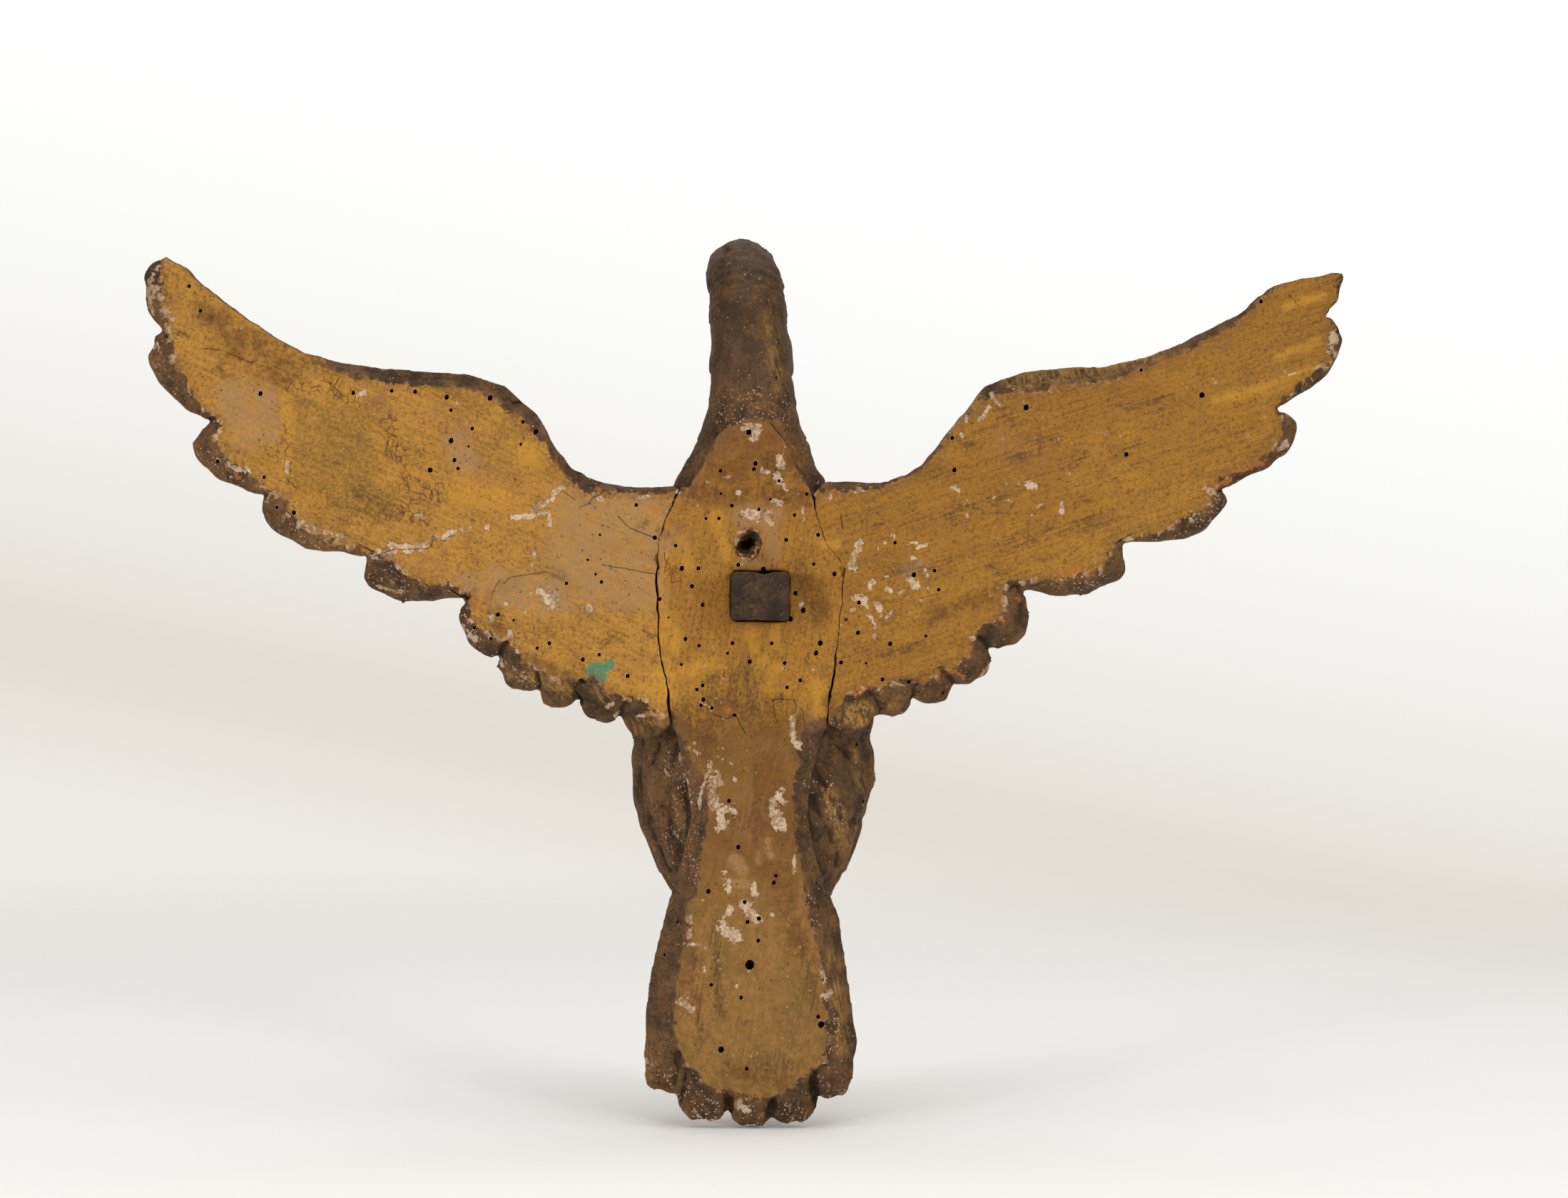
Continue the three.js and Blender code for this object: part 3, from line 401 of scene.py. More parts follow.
# Fine cracks in the paint and wood, each a run of points in the photograph's pixels.
CRACKS = [
    [(240, 462), (254, 472)], [(288, 489), (302, 490), (318, 494), (344, 505), (369, 515)],
    [(462, 536), (470, 545), (478, 555)], [(474, 530), (468, 542)],
    [(539, 632), (544, 614), (552, 609), (558, 618), (556, 632)], [(562, 708), (566, 722), (560, 732)],
    [(602, 678), (606, 694), (601, 706)], [(400, 664), (404, 674), (414, 684)],
    [(690, 836), (696, 822), (702, 815)], [(708, 818), (716, 809), (735, 806), (765, 803)],
    [(866, 724), (884, 740), (905, 750), (925, 757)], [(858, 698), (872, 687), (880, 688)],
    [(815, 712), (824, 706), (830, 698), (845, 690)], [(846, 792), (880, 798), (917, 806)],
    [(608, 752), (607, 766), (600, 769), (570, 770), (545, 772), (524, 779), (514, 784)],
    [(609, 752), (622, 758), (632, 753)], [(1082, 980), (1085, 998), (1090, 1012)],
    [(1088, 980), (1112, 981), (1124, 994), (1129, 1018), (1133, 1052)],
    [(1032, 1004), (1038, 1014), (1043, 1026)], [(1000, 1002), (1020, 1008), (1030, 1003)],
    [(932, 775), (935, 790), (931, 803)], [(1178, 722), (1183, 742)], [(887, 976), (877, 992), (864, 1008)],
    [(790, 690), (806, 700)],
]
JOINT_HOLLOWS = [(921, 778, 920, 797, 4), (938, 1000, 943, 1008, 3), (1177, 796, 1180, 806, 3)]

# Small corrections of the outlines, in pixels: a place, how far it moves right and down, and the reach.
LEFT_NUDGES = [
    (214, 378, -4, -9, 20), (258, 376, 4, -6, 16), (224, 468, -9, -3, 12), (203, 500, -4, 0, 14),
    (262, 574, -4, 6, 15), (286, 588, 0, 6, 10), (270, 622, -4, 0, 12), (286, 660, 3, -4, 12),
    (350, 688, -1, 6, 16), (368, 702, -6, 1, 11), (400, 760, 2, -3, 14), (500, 778, 0, 7, 18),
    (535, 834, 0, -7, 14), (600, 842, 0, 3, 16), (642, 842, 1, 6, 10), (650, 890, 5, -1, 10),
    (682, 918, -2, 4, 12), (700, 928, -7, 6, 10), (715, 958, -6, 6, 12), (750, 968, 0, -4, 8),
    (768, 988, -6, 7, 12), (808, 988, 0, -7, 10), (866, 1011, 0, -6, 9), (820, 668, 0, -4, 14),
    (804, 650, -2, 4, 12), (752, 596, 3, -3, 36), (216, 470, -5, 3, 9), (204, 392, -4, 0, 12),
    (448, 772, 0, 3, 24),
]
RIGHT_NUDGES = [
    (1163, 681, 0, -4, 12), (1200, 681, 0, -8, 34), (1262, 668, 0, -6, 18), (1295, 648, 1, 3, 10),
    (1480, 833, 0, 8, 26), (1550, 824, -3, -8, 18), (1443, 850, -4, 0, 14), (1390, 928, 5, 2, 13),
    (1376, 944, 4, 2, 10), (1346, 963, 0, -6, 10), (1322, 980, 5, 6, 13), (1288, 984, 0, -3, 8),
    (1240, 1006, 1, -9, 11), (1728, 680, 1, 9, 16), (1716, 732, -4, -5, 18), (1796, 645, -4, -4, 14),
    (1814, 594, 6, -3, 12), (1802, 567, -2, 5, 9), (1872, 455, 11, -5, 13), (1883, 478, 3, 0, 9),
    (1880, 408, -6, 1, 13), (1868, 430, -7, -1, 11), (1878, 386, 4, -7, 10), (1862, 446, 2, -4, 7),
    (1346, 580, 5, 5, 34), (1588, 768, -2, -6, 12), (1585, 770, 0, 5, 8), (1410, 908, 0, -3, 12),
    (1880, 470, 3, 0, 12), (1742, 434, 2, 6, 26), (1782, 402, 3, 7, 14), (1600, 505, 0, 3, 45),
    (1540, 510, 0, 3, 30),
]
BODY_NUDGES = [
    (1154, 670, 5, -1, 12), (948, 668, -3, 0, 15), (1132, 622, 6, -1, 16), (994, 445, -4, 0, 26),
    (996, 510, -4, 0, 26), (1106, 455, -4, 0, 18), (1112, 520, -3, 0, 8), (888, 1046, 9, 0, 14),
    (896, 1128, -5, 0, 24), (903, 1165, -4, 2, 14), (1224, 1040, -8, 0, 16), (1226, 1105, 5, 0, 18),
    (1210, 1156, -5, 0, 8), (1164, 1246, -6, 0, 10), (1176, 1290, 5, 0, 26), (902, 1505, 8, 0, 14),
    (1200, 1470, 5, 0, 22), (1203, 1525, -5, -2, 12),
]

# The worn top edge of the right wing's tip.
TIP_EDGE = [(1770, 412), (1781, 404), (1803, 396), (1830, 390), (1850, 388), (1872, 383), (1886, 384)]

# Creases between the round feather ends, from the outline inwards.
LEFT_CREASES = [
    [(226, 468), (238, 474)], [(290, 590), (304, 582)], [(370, 696), (386, 690)],
    [(644, 843), (656, 834), (668, 826)], [(696, 924), (706, 906), (720, 893)],
    [(754, 970), (753, 950), (748, 935)], [(812, 988), (808, 970), (818, 954)],
    [(867, 1012), (873, 994), (886, 976)],
]
RIGHT_CREASES = [
    [(1437, 832), (1426, 823), (1410, 826)], [(1392, 911), (1382, 900), (1371, 892)],
    [(1338, 961), (1331, 951), (1322, 941)], [(1281, 983), (1278, 967), (1286, 957)],
    [(1237, 999), (1229, 986), (1213, 967)], [(1719, 686), (1706, 692)], [(1800, 572), (1790, 577)],
]
TAIL_CREASES = [
    [(945, 1527), (950, 1508), (948, 1478)], [(1019, 1573), (1022, 1552), (1014, 1528)],
    [(1080, 1581), (1079, 1562), (1084, 1543)], [(1146, 1548), (1141, 1526), (1144, 1500)],
]
LEFT_JOINT = [(-34, 77), (-45, 52), (-46.7, 30), (-45.3, 0), (-40.3, -25), (-38, -44)]
RIGHT_JOINT = [(31, 77), (37.4, 50), (47, 37), (46.3, 18), (44.2, -1), (40.3, -27), (38.5, -44)]

# Soft grooves between the long feathers on the flanks.
FLANK_GROOVES = [
    [(1139, 1075), (1160, 1110), (1180, 1150), (1196, 1190)],
    [(1165, 1036), (1196, 1070), (1216, 1110), (1222, 1140)],
    [(1136, 1120), (1158, 1158), (1176, 1196), (1176, 1236)], [(1186, 1150), (1204, 1165), (1208, 1190)],
    [(922, 1045), (900, 1100), (904, 1165), (936, 1226)],
    [(950, 1048), (930, 1112), (938, 1172), (956, 1212)], [(974, 1060), (962, 1110), (966, 1160)],
    [(896, 1150), (892, 1120), (890, 1080)],
]

# Beetle holes, as places in the photograph's pixels and a radius in millimetres.
BLOCK_HOLES = [
    (1010, 660, 0.9), (1057, 658, 0.9), (1059, 650, 1.1), (1092, 674, 0.8), (1011, 692, 0.7),
    (1026, 709, 0.9), (990, 727, 0.7), (1008, 727, 0.9), (1064, 714, 0.8), (1114, 722, 0.8), (1080, 700, 0.6),
    (1131, 693, 0.8), (1050, 606, 1.3), (1147, 750, 1.0), (1102, 757, 1.0), (947, 765, 0.9), (956, 797, 1.1),
    (979, 797, 1.0), (1035, 792, 1.0), (1070, 798, 1.2), (1141, 791, 0.8), (1170, 805, 1.1), (970, 822, 1.1),
    (925, 840, 0.9), (985, 848, 1.0), (1115, 832, 1.1), (1126, 856, 1.2), (1108, 868, 1.2), (937, 866, 0.5),
    (909, 876, 0.8), (961, 896, 1.0), (980, 905, 0.9), (1027, 902, 1.0), (1082, 902, 0.9), (1150, 902, 1.3),
    (1144, 916, 1.1), (1020, 916, 0.8), (1051, 928, 1.1), (1100, 930, 0.9), (912, 920, 0.9), (955, 932, 0.8),
    (985, 961, 0.9), (977, 967, 0.9), (986, 981, 1.0), (983, 989, 0.9), (998, 993, 0.9), (1122, 954, 1.0),
    (1103, 964, 0.9), (1030, 1003, 0.9), (1035, 1188, 1.1), (1088, 1228, 0.9), (1085, 1238, 1.0),
    (993, 1250, 1.1), (1044, 1265, 1.0), (1064, 1288, 1.1), (1048, 1293, 1.0), (1063, 1319, 1.0),
    (997, 1381, 0.9), (1039, 1399, 0.9), (1147, 1426, 1.0), (1151, 1437, 1.6), (1011, 1472, 1.5),
    (1047, 1499, 0.9), (902, 1136, 1.1), (963, 1153, 0.9), (1161, 1162, 0.8), (945, 1200, 0.9),
    (948, 1292, 0.9), (1022, 1123, 0.9), (900, 1005, 1.0), (1029, 393, 0.8), (1040, 392, 0.7),
    (1093, 424, 0.8), (1020, 444, 0.7),
]
NAIL_HOLE = (1051, 1353, 2.3)
LEFT_WING_HOLES = [
    (265, 401, 0.9), (281, 436, 0.9), (365, 552, 1.1), (495, 551, 0.9), (549, 548, 0.9), (582, 549, 1.0),
    (626, 557, 1.1), (687, 558, 1.2), (751, 605, 1.1), (733, 592, 0.8), (730, 623, 0.7), (632, 575, 0.9),
    (662, 601, 0.9), (632, 618, 1.2), (637, 645, 1.0), (642, 657, 0.9), (603, 659, 1.3), (657, 626, 0.6),
    (412, 719, 1.1), (370, 669, 0.8), (305, 647, 0.9), (386, 710, 0.9), (924, 840, 0.9), (843, 816, 0.9),
    (794, 818, 0.9), (840, 918, 0.8), (817, 925, 1.0), (770, 902, 0.9), (753, 909, 0.8), (665, 880, 0.8),
    (688, 895, 0.8), (880, 948, 1.0), (835, 805, 0.7), (824, 785, 0.7), (918, 754, 1.1), (841, 750, 0.7),
    (892, 708, 0.9), (698, 862, 1.0), (720, 870, 0.6),
]
RIGHT_WING_HOLES = [
    (1439, 571, 1.3), (1600, 519, 0.8), (1685, 554, 1.4), (1768, 423, 0.9), (1579, 637, 1.1),
    (1338, 659, 1.1), (1255, 761, 0.9), (1281, 806, 1.1), (1310, 800, 0.9), (1316, 827, 0.9),
    (1203, 887, 1.0), (1186, 869, 0.8), (1248, 903, 1.1), (1298, 892, 0.8), (1204, 845, 1.0),
    (1179, 929, 1.0), (1237, 953, 0.9), (1274, 956, 0.9), (1335, 614, 0.9), (1186, 869, 0.9),
    (1214, 930, 0.7),
]

# What differs between the two wings. The streaks of the brush lean by some degrees.
WINGS = [
    {
        "node": "left_wing", "name": "LeftWing", "side": -1, "streaks": -25,
        "holes": LEFT_WING_HOLES, "outline": LEFT_PAINT, "nudges": LEFT_NUDGES,
        "creases": LEFT_CREASES, "joint": LEFT_JOINT,
    },
    {
        "node": "right_wing", "name": "RightWing", "side": 1, "streaks": 18,
        "holes": RIGHT_WING_HOLES, "outline": RIGHT_PAINT, "nudges": RIGHT_NUDGES,
        "creases": RIGHT_CREASES, "joint": RIGHT_JOINT,
    },
]

# The knot hole, the beetle holes and the peg. Pairs are ranges that a random number is drawn from.
KNOT_CENTRE = (-0.5, 48.8)
KNOT_HALF = (7.2, 8.8)
KNOT_DEPTH = 3.4
HOLE_DEPTH = 5
HOLE_SIDES = 10
HOLE_LEAN = 0.12
HOLE_OVAL = (1.0, 1.25)
HOLE_DEPTHS = (0.7, 1.2)
HOLE_ASIDE = (0.3, 0.2, 0.9)
PIN_PROUD = 1.5
STRAY_RADII = (0.55, 0.95)
BODY_STRAYS, WING_STRAYS = 45, 18
PEG_BEVEL, PEG_GRAIN = 2.4, 0.6

# The surroundings from below to above, and each light's name, place, size in metres and power in watts.
# The stop at 0.2 is painted shade, a darker band just below the horizon.
SKY_STOPS = [
    (0.0, (237, 234, 228)), (0.2, (226, 220, 210)), (0.35, (235, 232, 226)), (0.55, (243, 242, 238)),
    (0.8, (252, 252, 250)), (1.0, (255, 255, 255)),
]
LIGHTS = [
    ("Key Light", (-1.3, -1.75, 0.2), 0.5, 14.8),
    ("Fill Light", (1.2, -1.95, 0.35), 0.5, 15.3),
    ("Top Light", (0.1, -0.2, 2.2), 3.0, 31),
]


def srgb(red, green, blue):
    """A colour written in 0 to 255 as linear light."""
    values = (red / 255, green / 255, blue / 255)
    return tuple(v / 12.92 if v <= 0.04045 else ((v + 0.055) / 1.055) ** 2.4 for v in values)


def colour_property(name, description, default):
    return FloatVectorProperty(
        name=name, description=description, default=srgb(*default), size=3, min=0, max=1, subtype="COLOR"
    )


class SwanCarvingSettings(bpy.types.PropertyGroup):
    """Sizes of the carver's work."""

    body_grain: FloatProperty(
        name="Body Skin", description="Size of the faces of the body's skin", default=1.4 * MM, unit="LENGTH"
    )
    wing_grain: FloatProperty(
        name="Wing Skin", description="Size of the faces of a wing's skin", default=1.0 * MM, unit="LENGTH"
    )
    tool_marks: FloatProperty(
        name="Tool Marks", description="Depth of the gouge marks", default=0.35 * MM, unit="LENGTH"
    )
    barb_depth: FloatProperty(
        name="Barb Depth", description="Depth of the lines over a feather", default=0.3 * MM, unit="LENGTH"
    )
    back_waves: FloatProperty(
        name="Back Waves", description="How uneven the flat back is", default=0.5 * MM, unit="LENGTH"
    )
    seed: IntProperty(name="Seed", description="Picks another set of small damages", default=7, min=0)


class SwanFinishSettings(bpy.types.PropertyGroup):
    """Colours of the old paint, gilding and dirt."""

    block_ochre: colour_property("Block Ochre", "Paint on the back of the block", (162, 111, 44))
    left_ochre: colour_property("Left Ochre", "Paint on the back of the left wing", (178, 127, 56))
    right_ochre: colour_property("Right Ochre", "Paint on the back of the right wing", (153, 105, 41))
    tail_ochre: colour_property("Tail Ochre", "Paint on the back of the tail", (146, 106, 60))
    # Root brown also paints the painted shadow to the right of the peg.
    root_brown: colour_property("Root Brown", "Thin brown paint over the tail's root", (108, 70, 32))
    yellow: colour_property("Yellow", "Brighter ochre in streaks and beside the cracks", (196, 142, 50))
    olive: colour_property("Olive", "Greenish dirt in the brush marks", (98, 82, 42))
    reddish: colour_property("Reddish", "Reddish brown stains in the paint", (146, 98, 62))
    grime: colour_property("Grime", "Dark dirt on the paint", (80, 57, 37))
    patina: colour_property("Patina", "Blackened gilding on the edges and sides", (60, 43, 28))
    brown_patina: colour_property("Brown Patina", "Rubbed brown gilding", (112, 79, 46))
    gold: colour_property("Gold", "Old gold leaf", (196, 148, 66))
    bole: colour_property("Bole", "Orange red clay under the gold", (178, 106, 46))
    gesso: colour_property("Gesso", "Pinkish white ground where the paint is lost", (214, 188, 160))
    filler: colour_property("Filler", "Grey pink repair paste", (152, 122, 90))
    green: colour_property("Green", "Dab of green paint", (72, 128, 96))
    bare_wood: colour_property("Bare Wood", "Raw wood in the knot hole", (104, 66, 44))
    hole_dark: colour_property("Hole Dark", "Inside of the beetle holes", (15, 10, 7))
    peg_brown: colour_property("Peg Brown", "End of the square peg", (72, 53, 37))
    peg_dark: colour_property("Peg Dark", "Dirt on the square peg", (44, 32, 22))


class SwanStageSettings(bpy.types.PropertyGroup):
    """The camera, the light and the floor."""

    camera_place: FloatVectorProperty(
        name="Camera", description="Place of the camera", subtype="TRANSLATION",
        default=(0.0175, -1.85, 0.0214),
    )
    lens: FloatProperty(name="Lens", description="Focal length in millimetres", default=85)
    floor_radius: FloatProperty(
        name="Floor Radius", description="Radius of the round floor", default=2.2, unit="LENGTH"
    )
    floor_colour: colour_property("Floor", "Pale floor", (253, 251, 247))
    sky_strength: FloatProperty(name="Sky Strength", description="Light from all round", default=0.46)


def clamp(value, low=0.0, high=1.0):
    return np.minimum(np.maximum(value, low), high)


def mix(a, b, share):
    return a + (b - a) * share


def smooth_step(low, high, value):
    """0 at low, 1 at high and smooth in between."""
    share = clamp((value - low) / (high - low))
    return share * share * (3 - 2 * share)


def bell(value, width):
    return np.exp(-((value / width) ** 2))


def lattice_noise(points, size, seed):
    """Smooth random values from -1 to 1, which change over about one size in each direction."""
    cell = points / np.asarray(size, float)
    base = np.floor(cell)
    part = cell - base
    ease = part * part * (3 - 2 * part)
    base = base.astype(np.int64)
    total = np.zeros(len(points))
    for corner in range(8):
        step = np.array([corner & 1, corner >> 1 & 1, corner >> 2 & 1])
        key = (base + step) @ np.array([73856093, 19349663, 83492791]) + seed * 6542989
        key = ((key ^ (key >> 13)) * 1274126177) & 0x7FFFFFFF
        key = ((key ^ (key >> 15)) * 668265263) & 0x7FFFFFFF
        value = ((key >> 8) & 0xFFFF) / 32767.5 - 1
        total += np.prod(np.where(step == 1, ease, 1 - ease), axis=1) * value
    return total


def rough_noise(points, size, seed, layers=3):
    """Layers of finer and finer noise, from about -1 to 1."""
    size = np.asarray(size, float)
    finer = [lattice_noise(points, size / 2**k, seed + 17 * k) / 2**k for k in range(layers)]
    return sum(finer) / 1.6


def curve_through(stations, share):
    """A smooth curve through rows of numbers, read at shares from 0 to 1."""
    stations = np.asarray(stations, float)
    place = clamp(np.asarray(share, float)) * (len(stations) - 1)
    i = np.minimum(place.astype(int), len(stations) - 2)
    f = (place - i)[:, None]
    before = stations[np.maximum(i - 1, 0)]
    value, after_value = stations[i], stations[i + 1]
    after = stations[np.minimum(i + 2, len(stations) - 1)]
    rise, fall = (after_value - before) / 2, (after - value) / 2
    ease = f * f * (3 - 2 * f)
    return mix(value, after_value, ease) + rise * f * (1 - f) ** 2 - fall * f * f * (1 - f)


def select_only(*objects):
    if bpy.context.object is not None and bpy.context.object.mode != "OBJECT":
        bpy.ops.object.mode_set(mode="OBJECT")
    bpy.ops.object.select_all(action="DESELECT")
    for o in objects:
        o.select_set(True)
    bpy.context.view_layer.objects.active = objects[-1]


def finish_modifier(piece, kind, **settings):
    """Adds a modifier with its settings and applies it."""
    select_only(piece)
    modifier = piece.modifiers.new(kind.title(), kind)
    for key, value in settings.items():
        setattr(modifier, key, value)
    bpy.ops.object.modifier_apply(modifier=modifier.name)


def use_tool(piece, tool, **settings):
    """Runs one mesh tool over a whole piece."""
    select_only(piece)
    bpy.ops.object.mode_set(mode="EDIT")
    bpy.ops.mesh.select_all(action="SELECT")
    tool(**settings)
    bpy.ops.object.mode_set(mode="OBJECT")


def rough_out(node, name, grain):
    """A copy of a solid with its facets melted into one fine, even skin."""
    select_only(frame["nodes"][node])
    bpy.ops.object.duplicate()
    piece = bpy.context.active_object
    bpy.ops.object.parent_clear(type="CLEAR_KEEP_TRANSFORM")
    for key in list(piece.keys()):
        del piece[key]
    piece.name = piece.data.name = name
    piece.data.materials.clear()
    use_tool(piece, bpy.ops.mesh.remove_doubles, threshold=1e-6)
    coarser = 1
    finish_modifier(piece, "REMESH", mode="VOXEL", voxel_size=grain * coarser)
    finish_modifier(piece, "SMOOTH", factor=0.5, iterations=5)
    return piece


def read_rows(collection, key, width, kind=np.float32):
    """One property of all vertices, normals or edges of a mesh, as rows of numbers."""
    flat = np.empty(len(collection) * width, kind)
    collection.foreach_get(key, flat)
    return flat.reshape(-1, width)


def move_vertices(mesh, points):
    """Moves the vertices of a mesh to points in millimetres."""
    mesh.vertices.foreach_set("co", (points * MM).astype(np.float32).ravel())


class Skin:
    """The vertices of a piece while it is carved, in millimetres."""

    def __init__(self, piece):
        self.mesh = piece.data
        self.points = read_rows(self.mesh.vertices, "co", 3).astype(float) / MM
        self.ends = read_rows(self.mesh.edges, "vertices", 2, np.int32)
        self.degree = np.bincount(self.ends.ravel(), minlength=len(self.points))[:, None]
        self.read_normals()

    def read_normals(self):
        self.normals = read_rows(self.mesh.vertex_normals, "vector", 3).astype(float)

    def write(self):
        move_vertices(self.mesh, self.points)
        self.mesh.update()
        self.read_normals()

    def facing(self, ways, chosen=slice(None)):
        """How much the chosen points face along their ways, from -1 to 1."""
        return (self.normals[chosen] * ways).sum(axis=1)

    def shift(self, ways, amount, chosen=slice(None)):
        """Moves the chosen points along their ways by some millimetres."""
        self.points[chosen] += ways * amount[:, None]

    def push(self, amount):
        """Moves each point along its normal by some millimetres."""
        self.shift(self.normals, amount)

    def averaged(self, values, rounds=1):
        """Values evened out with those of the neighbours."""
        values = values.reshape(len(values), -1).astype(float)
        a, b = self.ends[:, 0], self.ends[:, 1]
        for _ in range(rounds):
            total = np.stack([
                np.bincount(a, column[b], len(values)) + np.bincount(b, column[a], len(values))
                for column in values.T
            ], axis=1)
            values = (values + total / np.maximum(self.degree, 1)) / 2
        return values if values.shape[1] > 1 else values[:, 0]

    def hollowness(self, rounds):
        """How far each point lies below the surface around it, in millimetres, negative on ridges."""
        return self.facing(self.averaged(self.points, rounds) - self.points)

    def keep(self, name, values):
        """Stores one value for each point, for the finish to read."""
        attribute = self.mesh.attributes.get(name) or self.mesh.attributes.new(name, "FLOAT", "POINT")
        attribute.data.foreach_set("value", np.asarray(values, np.float32))


def on_photo(points, torn=0.0):
    """Points of the back as pixels of the photograph, shifted about at random by some pixels."""
    flat = points[:, [0, 2]] / MM_PER_PIXEL
    pixels = np.stack([PHOTO_ORIGIN[0] + flat[:, 0], PHOTO_ORIGIN[1] - flat[:, 1]], axis=1)
    if torn:
        for k in (0, 1):
            pixels[:, k] += torn * rough_noise(points, (6, 40, 6), 71 + k) * 1.3
    return pixels


def stroke_distance(pixels, start, end):
    """Distance, signed distance from the line and overshoot of points to one stroke, in pixels."""
    start, end = np.array(start, float), np.array(end, float)
    way = end - start
    length = np.hypot(*way)
    way = way / length if length > 0 else np.array([1.0, 0.0])
    along = (pixels - start) @ way
    aside = (pixels - start) @ np.array([-way[1], way[0]])
    beyond = np.maximum(-along, along - length).clip(0)
    return np.hypot(aside, beyond), aside, beyond


def paint_depth(points, outline):
    """Distance in millimetres from the torn edge of the paint, above 0 inside it."""
    return inside_distance(on_photo(points, EDGE_WANDER), outline)


def marks(pixels, strokes):
    """1 in the middle of a set of strokes, 0 at their edges and below 0 outside."""
    field = np.full(len(pixels), -1.0)
    for x0, y0, x1, y1, half in strokes:
        distance, _, _ = stroke_distance(pixels, (x0, y0), (x1, y1))
        field = np.maximum(field, 1 - distance / half)
    return field


def line_distance(places, line):
    """Distance to a run of points, in its own unit."""
    distances = [stroke_distance(places, start, end)[0] for start, end in zip(line, line[1:])]
    return np.min(distances, axis=0)


def beside_line(flat, line):
    """The nearest point of a line, the way it goes there, and the place along and across it."""
    way = np.gradient(line, axis=0)
    way /= np.linalg.norm(way, axis=1)[:, None]
    best = ((flat[:, None, :] - line[None, :, :]) ** 2).sum(axis=2).argmin(axis=1)
    offset, way = flat - line[best], way[best]
    across = offset[:, 0] * way[:, 1] - offset[:, 1] * way[:, 0]
    return best, way, (offset * way).sum(axis=1), across


def round_form(side, forward, wide, deep):
    """Angle round an oval section, its reach at that angle, and how far a point stands off it."""
    u, v = side / wide, forward / deep
    angle = np.arctan2(v, u)
    reach = np.hypot(wide * np.cos(angle), deep * np.sin(angle))
    return angle, reach, (np.hypot(u, v) - 1) * reach


def inside_distance(pixels, outline):
    """Distance in millimetres to the outline, above 0 inside it and below 0 outside."""
    corners = np.array(outline, float)
    nearest = np.full(len(pixels), 1e6)
    inside = np.zeros(len(pixels), bool)
    for start, end in zip(corners, np.roll(corners, -1, axis=0)):
        distance, _, _ = stroke_distance(pixels, start, end)
        nearest = np.minimum(nearest, distance)
        rise = end[1] - start[1]
        crosses = (start[1] > pixels[:, 1]) != (end[1] > pixels[:, 1])
        at = start[0] + (pixels[:, 1] - start[1]) / (rise or 1e-9) * (end[0] - start[0])
        inside ^= crosses & (pixels[:, 0] < at)
    return np.where(inside, nearest, -nearest) * MM_PER_PIXEL


def crack_lines(pixels, cracks):
    """The signed distance to the nearest crack in millimetres, and how much that crack is there."""
    nearest, signed = np.full(len(pixels), 1e3), np.full(len(pixels), 1e3)
    there = np.zeros(len(pixels))
    for crack in cracks:
        for start, end in zip(crack, crack[1:]):
            distance, aside, beyond = stroke_distance(pixels, start, end)
            closer = distance < nearest
            nearest = np.where(closer, distance, nearest)
            signed = np.where(closer, aside, signed)
            there = np.where(closer, np.exp(-beyond / 2.0), there)
    return signed * MM_PER_PIXEL, there


def scale_feathers(t, angle, rows, around):
    """Share along and place across the scale feather at each point of a round form."""
    column = np.mod(angle, TURN) / TURN * around
    place = t * rows

    def border(edge):
        across = np.mod(column + edge / 2, 1)
        drop = SCALLOP * (1 - (2 * across - 1) ** 2)
        return edge + np.where((edge > 0) & (edge < rows), drop, 0)

    row = np.floor(place)
    row = row - (place < border(row))
    share = (place - border(row)) / (border(row + 1) - border(row))
    return clamp(share), 2 * np.mod(column + (row + 1) / 2, 1) - 1


def feather_relief(along, across, half_width, barb_depth):
    """Shaft, barbs and soft edges of a feather, from the place along and across it in millimetres."""
    side = np.abs(across)
    shaft = 0.9 * bell(across, 1.3) - 0.45 * bell(side - 3, 1.0)
    barbs = barb_depth * np.sin(TURN * (along + BARB_SLANT * side) / BARB_SPACING)
    edge = -0.5 * smooth_step(0.82, 1.0, side / half_width)
    return shaft + barbs * smooth_step(1.5, 4, side) + edge


def front_half(angle):
    return smooth_step(-0.25, 0.25, np.sin(angle))


def close_by(lift, wanted):
    """1 where the skin lies close to the form that is wanted, and 0 where it is part of another."""
    return 1 - smooth_step(*CLOSE_BY, np.abs(lift - wanted))


def carve_breast(skin, barb_depth):
    """Rows of scale feathers over the egg of the breast."""
    x, y, z = skin.points.T
    height = clamp((z - BREAST_CENTRE[2]) / BREAST_HALF[2], -0.995, 0.995)
    swell = np.sqrt(1 - np.abs(height) ** BREAST_POWER)
    set_back = np.where(height > 0, BREAST_SET_BACK["above"], BREAST_SET_BACK["below"]) * height**2
    side, forward = x - BREAST_CENTRE[0], y - (BREAST_CENTRE[1] - set_back)
    angle, reach, lift = round_form(side, forward, BREAST_HALF[0] * swell, BREAST_HALF[1] * swell)
    low, high = BREAST_POLES
    t = (np.arccos(height) / math.pi - low) / (high - low)
    share, across = scale_feathers(t, angle, BREAST_ROWS, BREAST_AROUND)
    front = front_half(angle)
    half = math.pi * reach / BREAST_AROUND
    relief = feather_relief(share * BREAST_FEATHER, across * half, half, barb_depth)
    wanted = front * (BREAST_PROUD * share + relief * 0.8)
    outward = np.stack([np.cos(angle), np.sin(angle), np.zeros_like(angle)], axis=1)
    on_egg = smooth_step(0.2, 0.5, skin.facing(outward)) * close_by(lift, wanted)
    on_egg *= smooth_step(0, 0.04, t) * (1 - smooth_step(0.96, 1, t)) * front
    skin.shift(outward, (wanted - lift) * on_egg)
    skin.write()


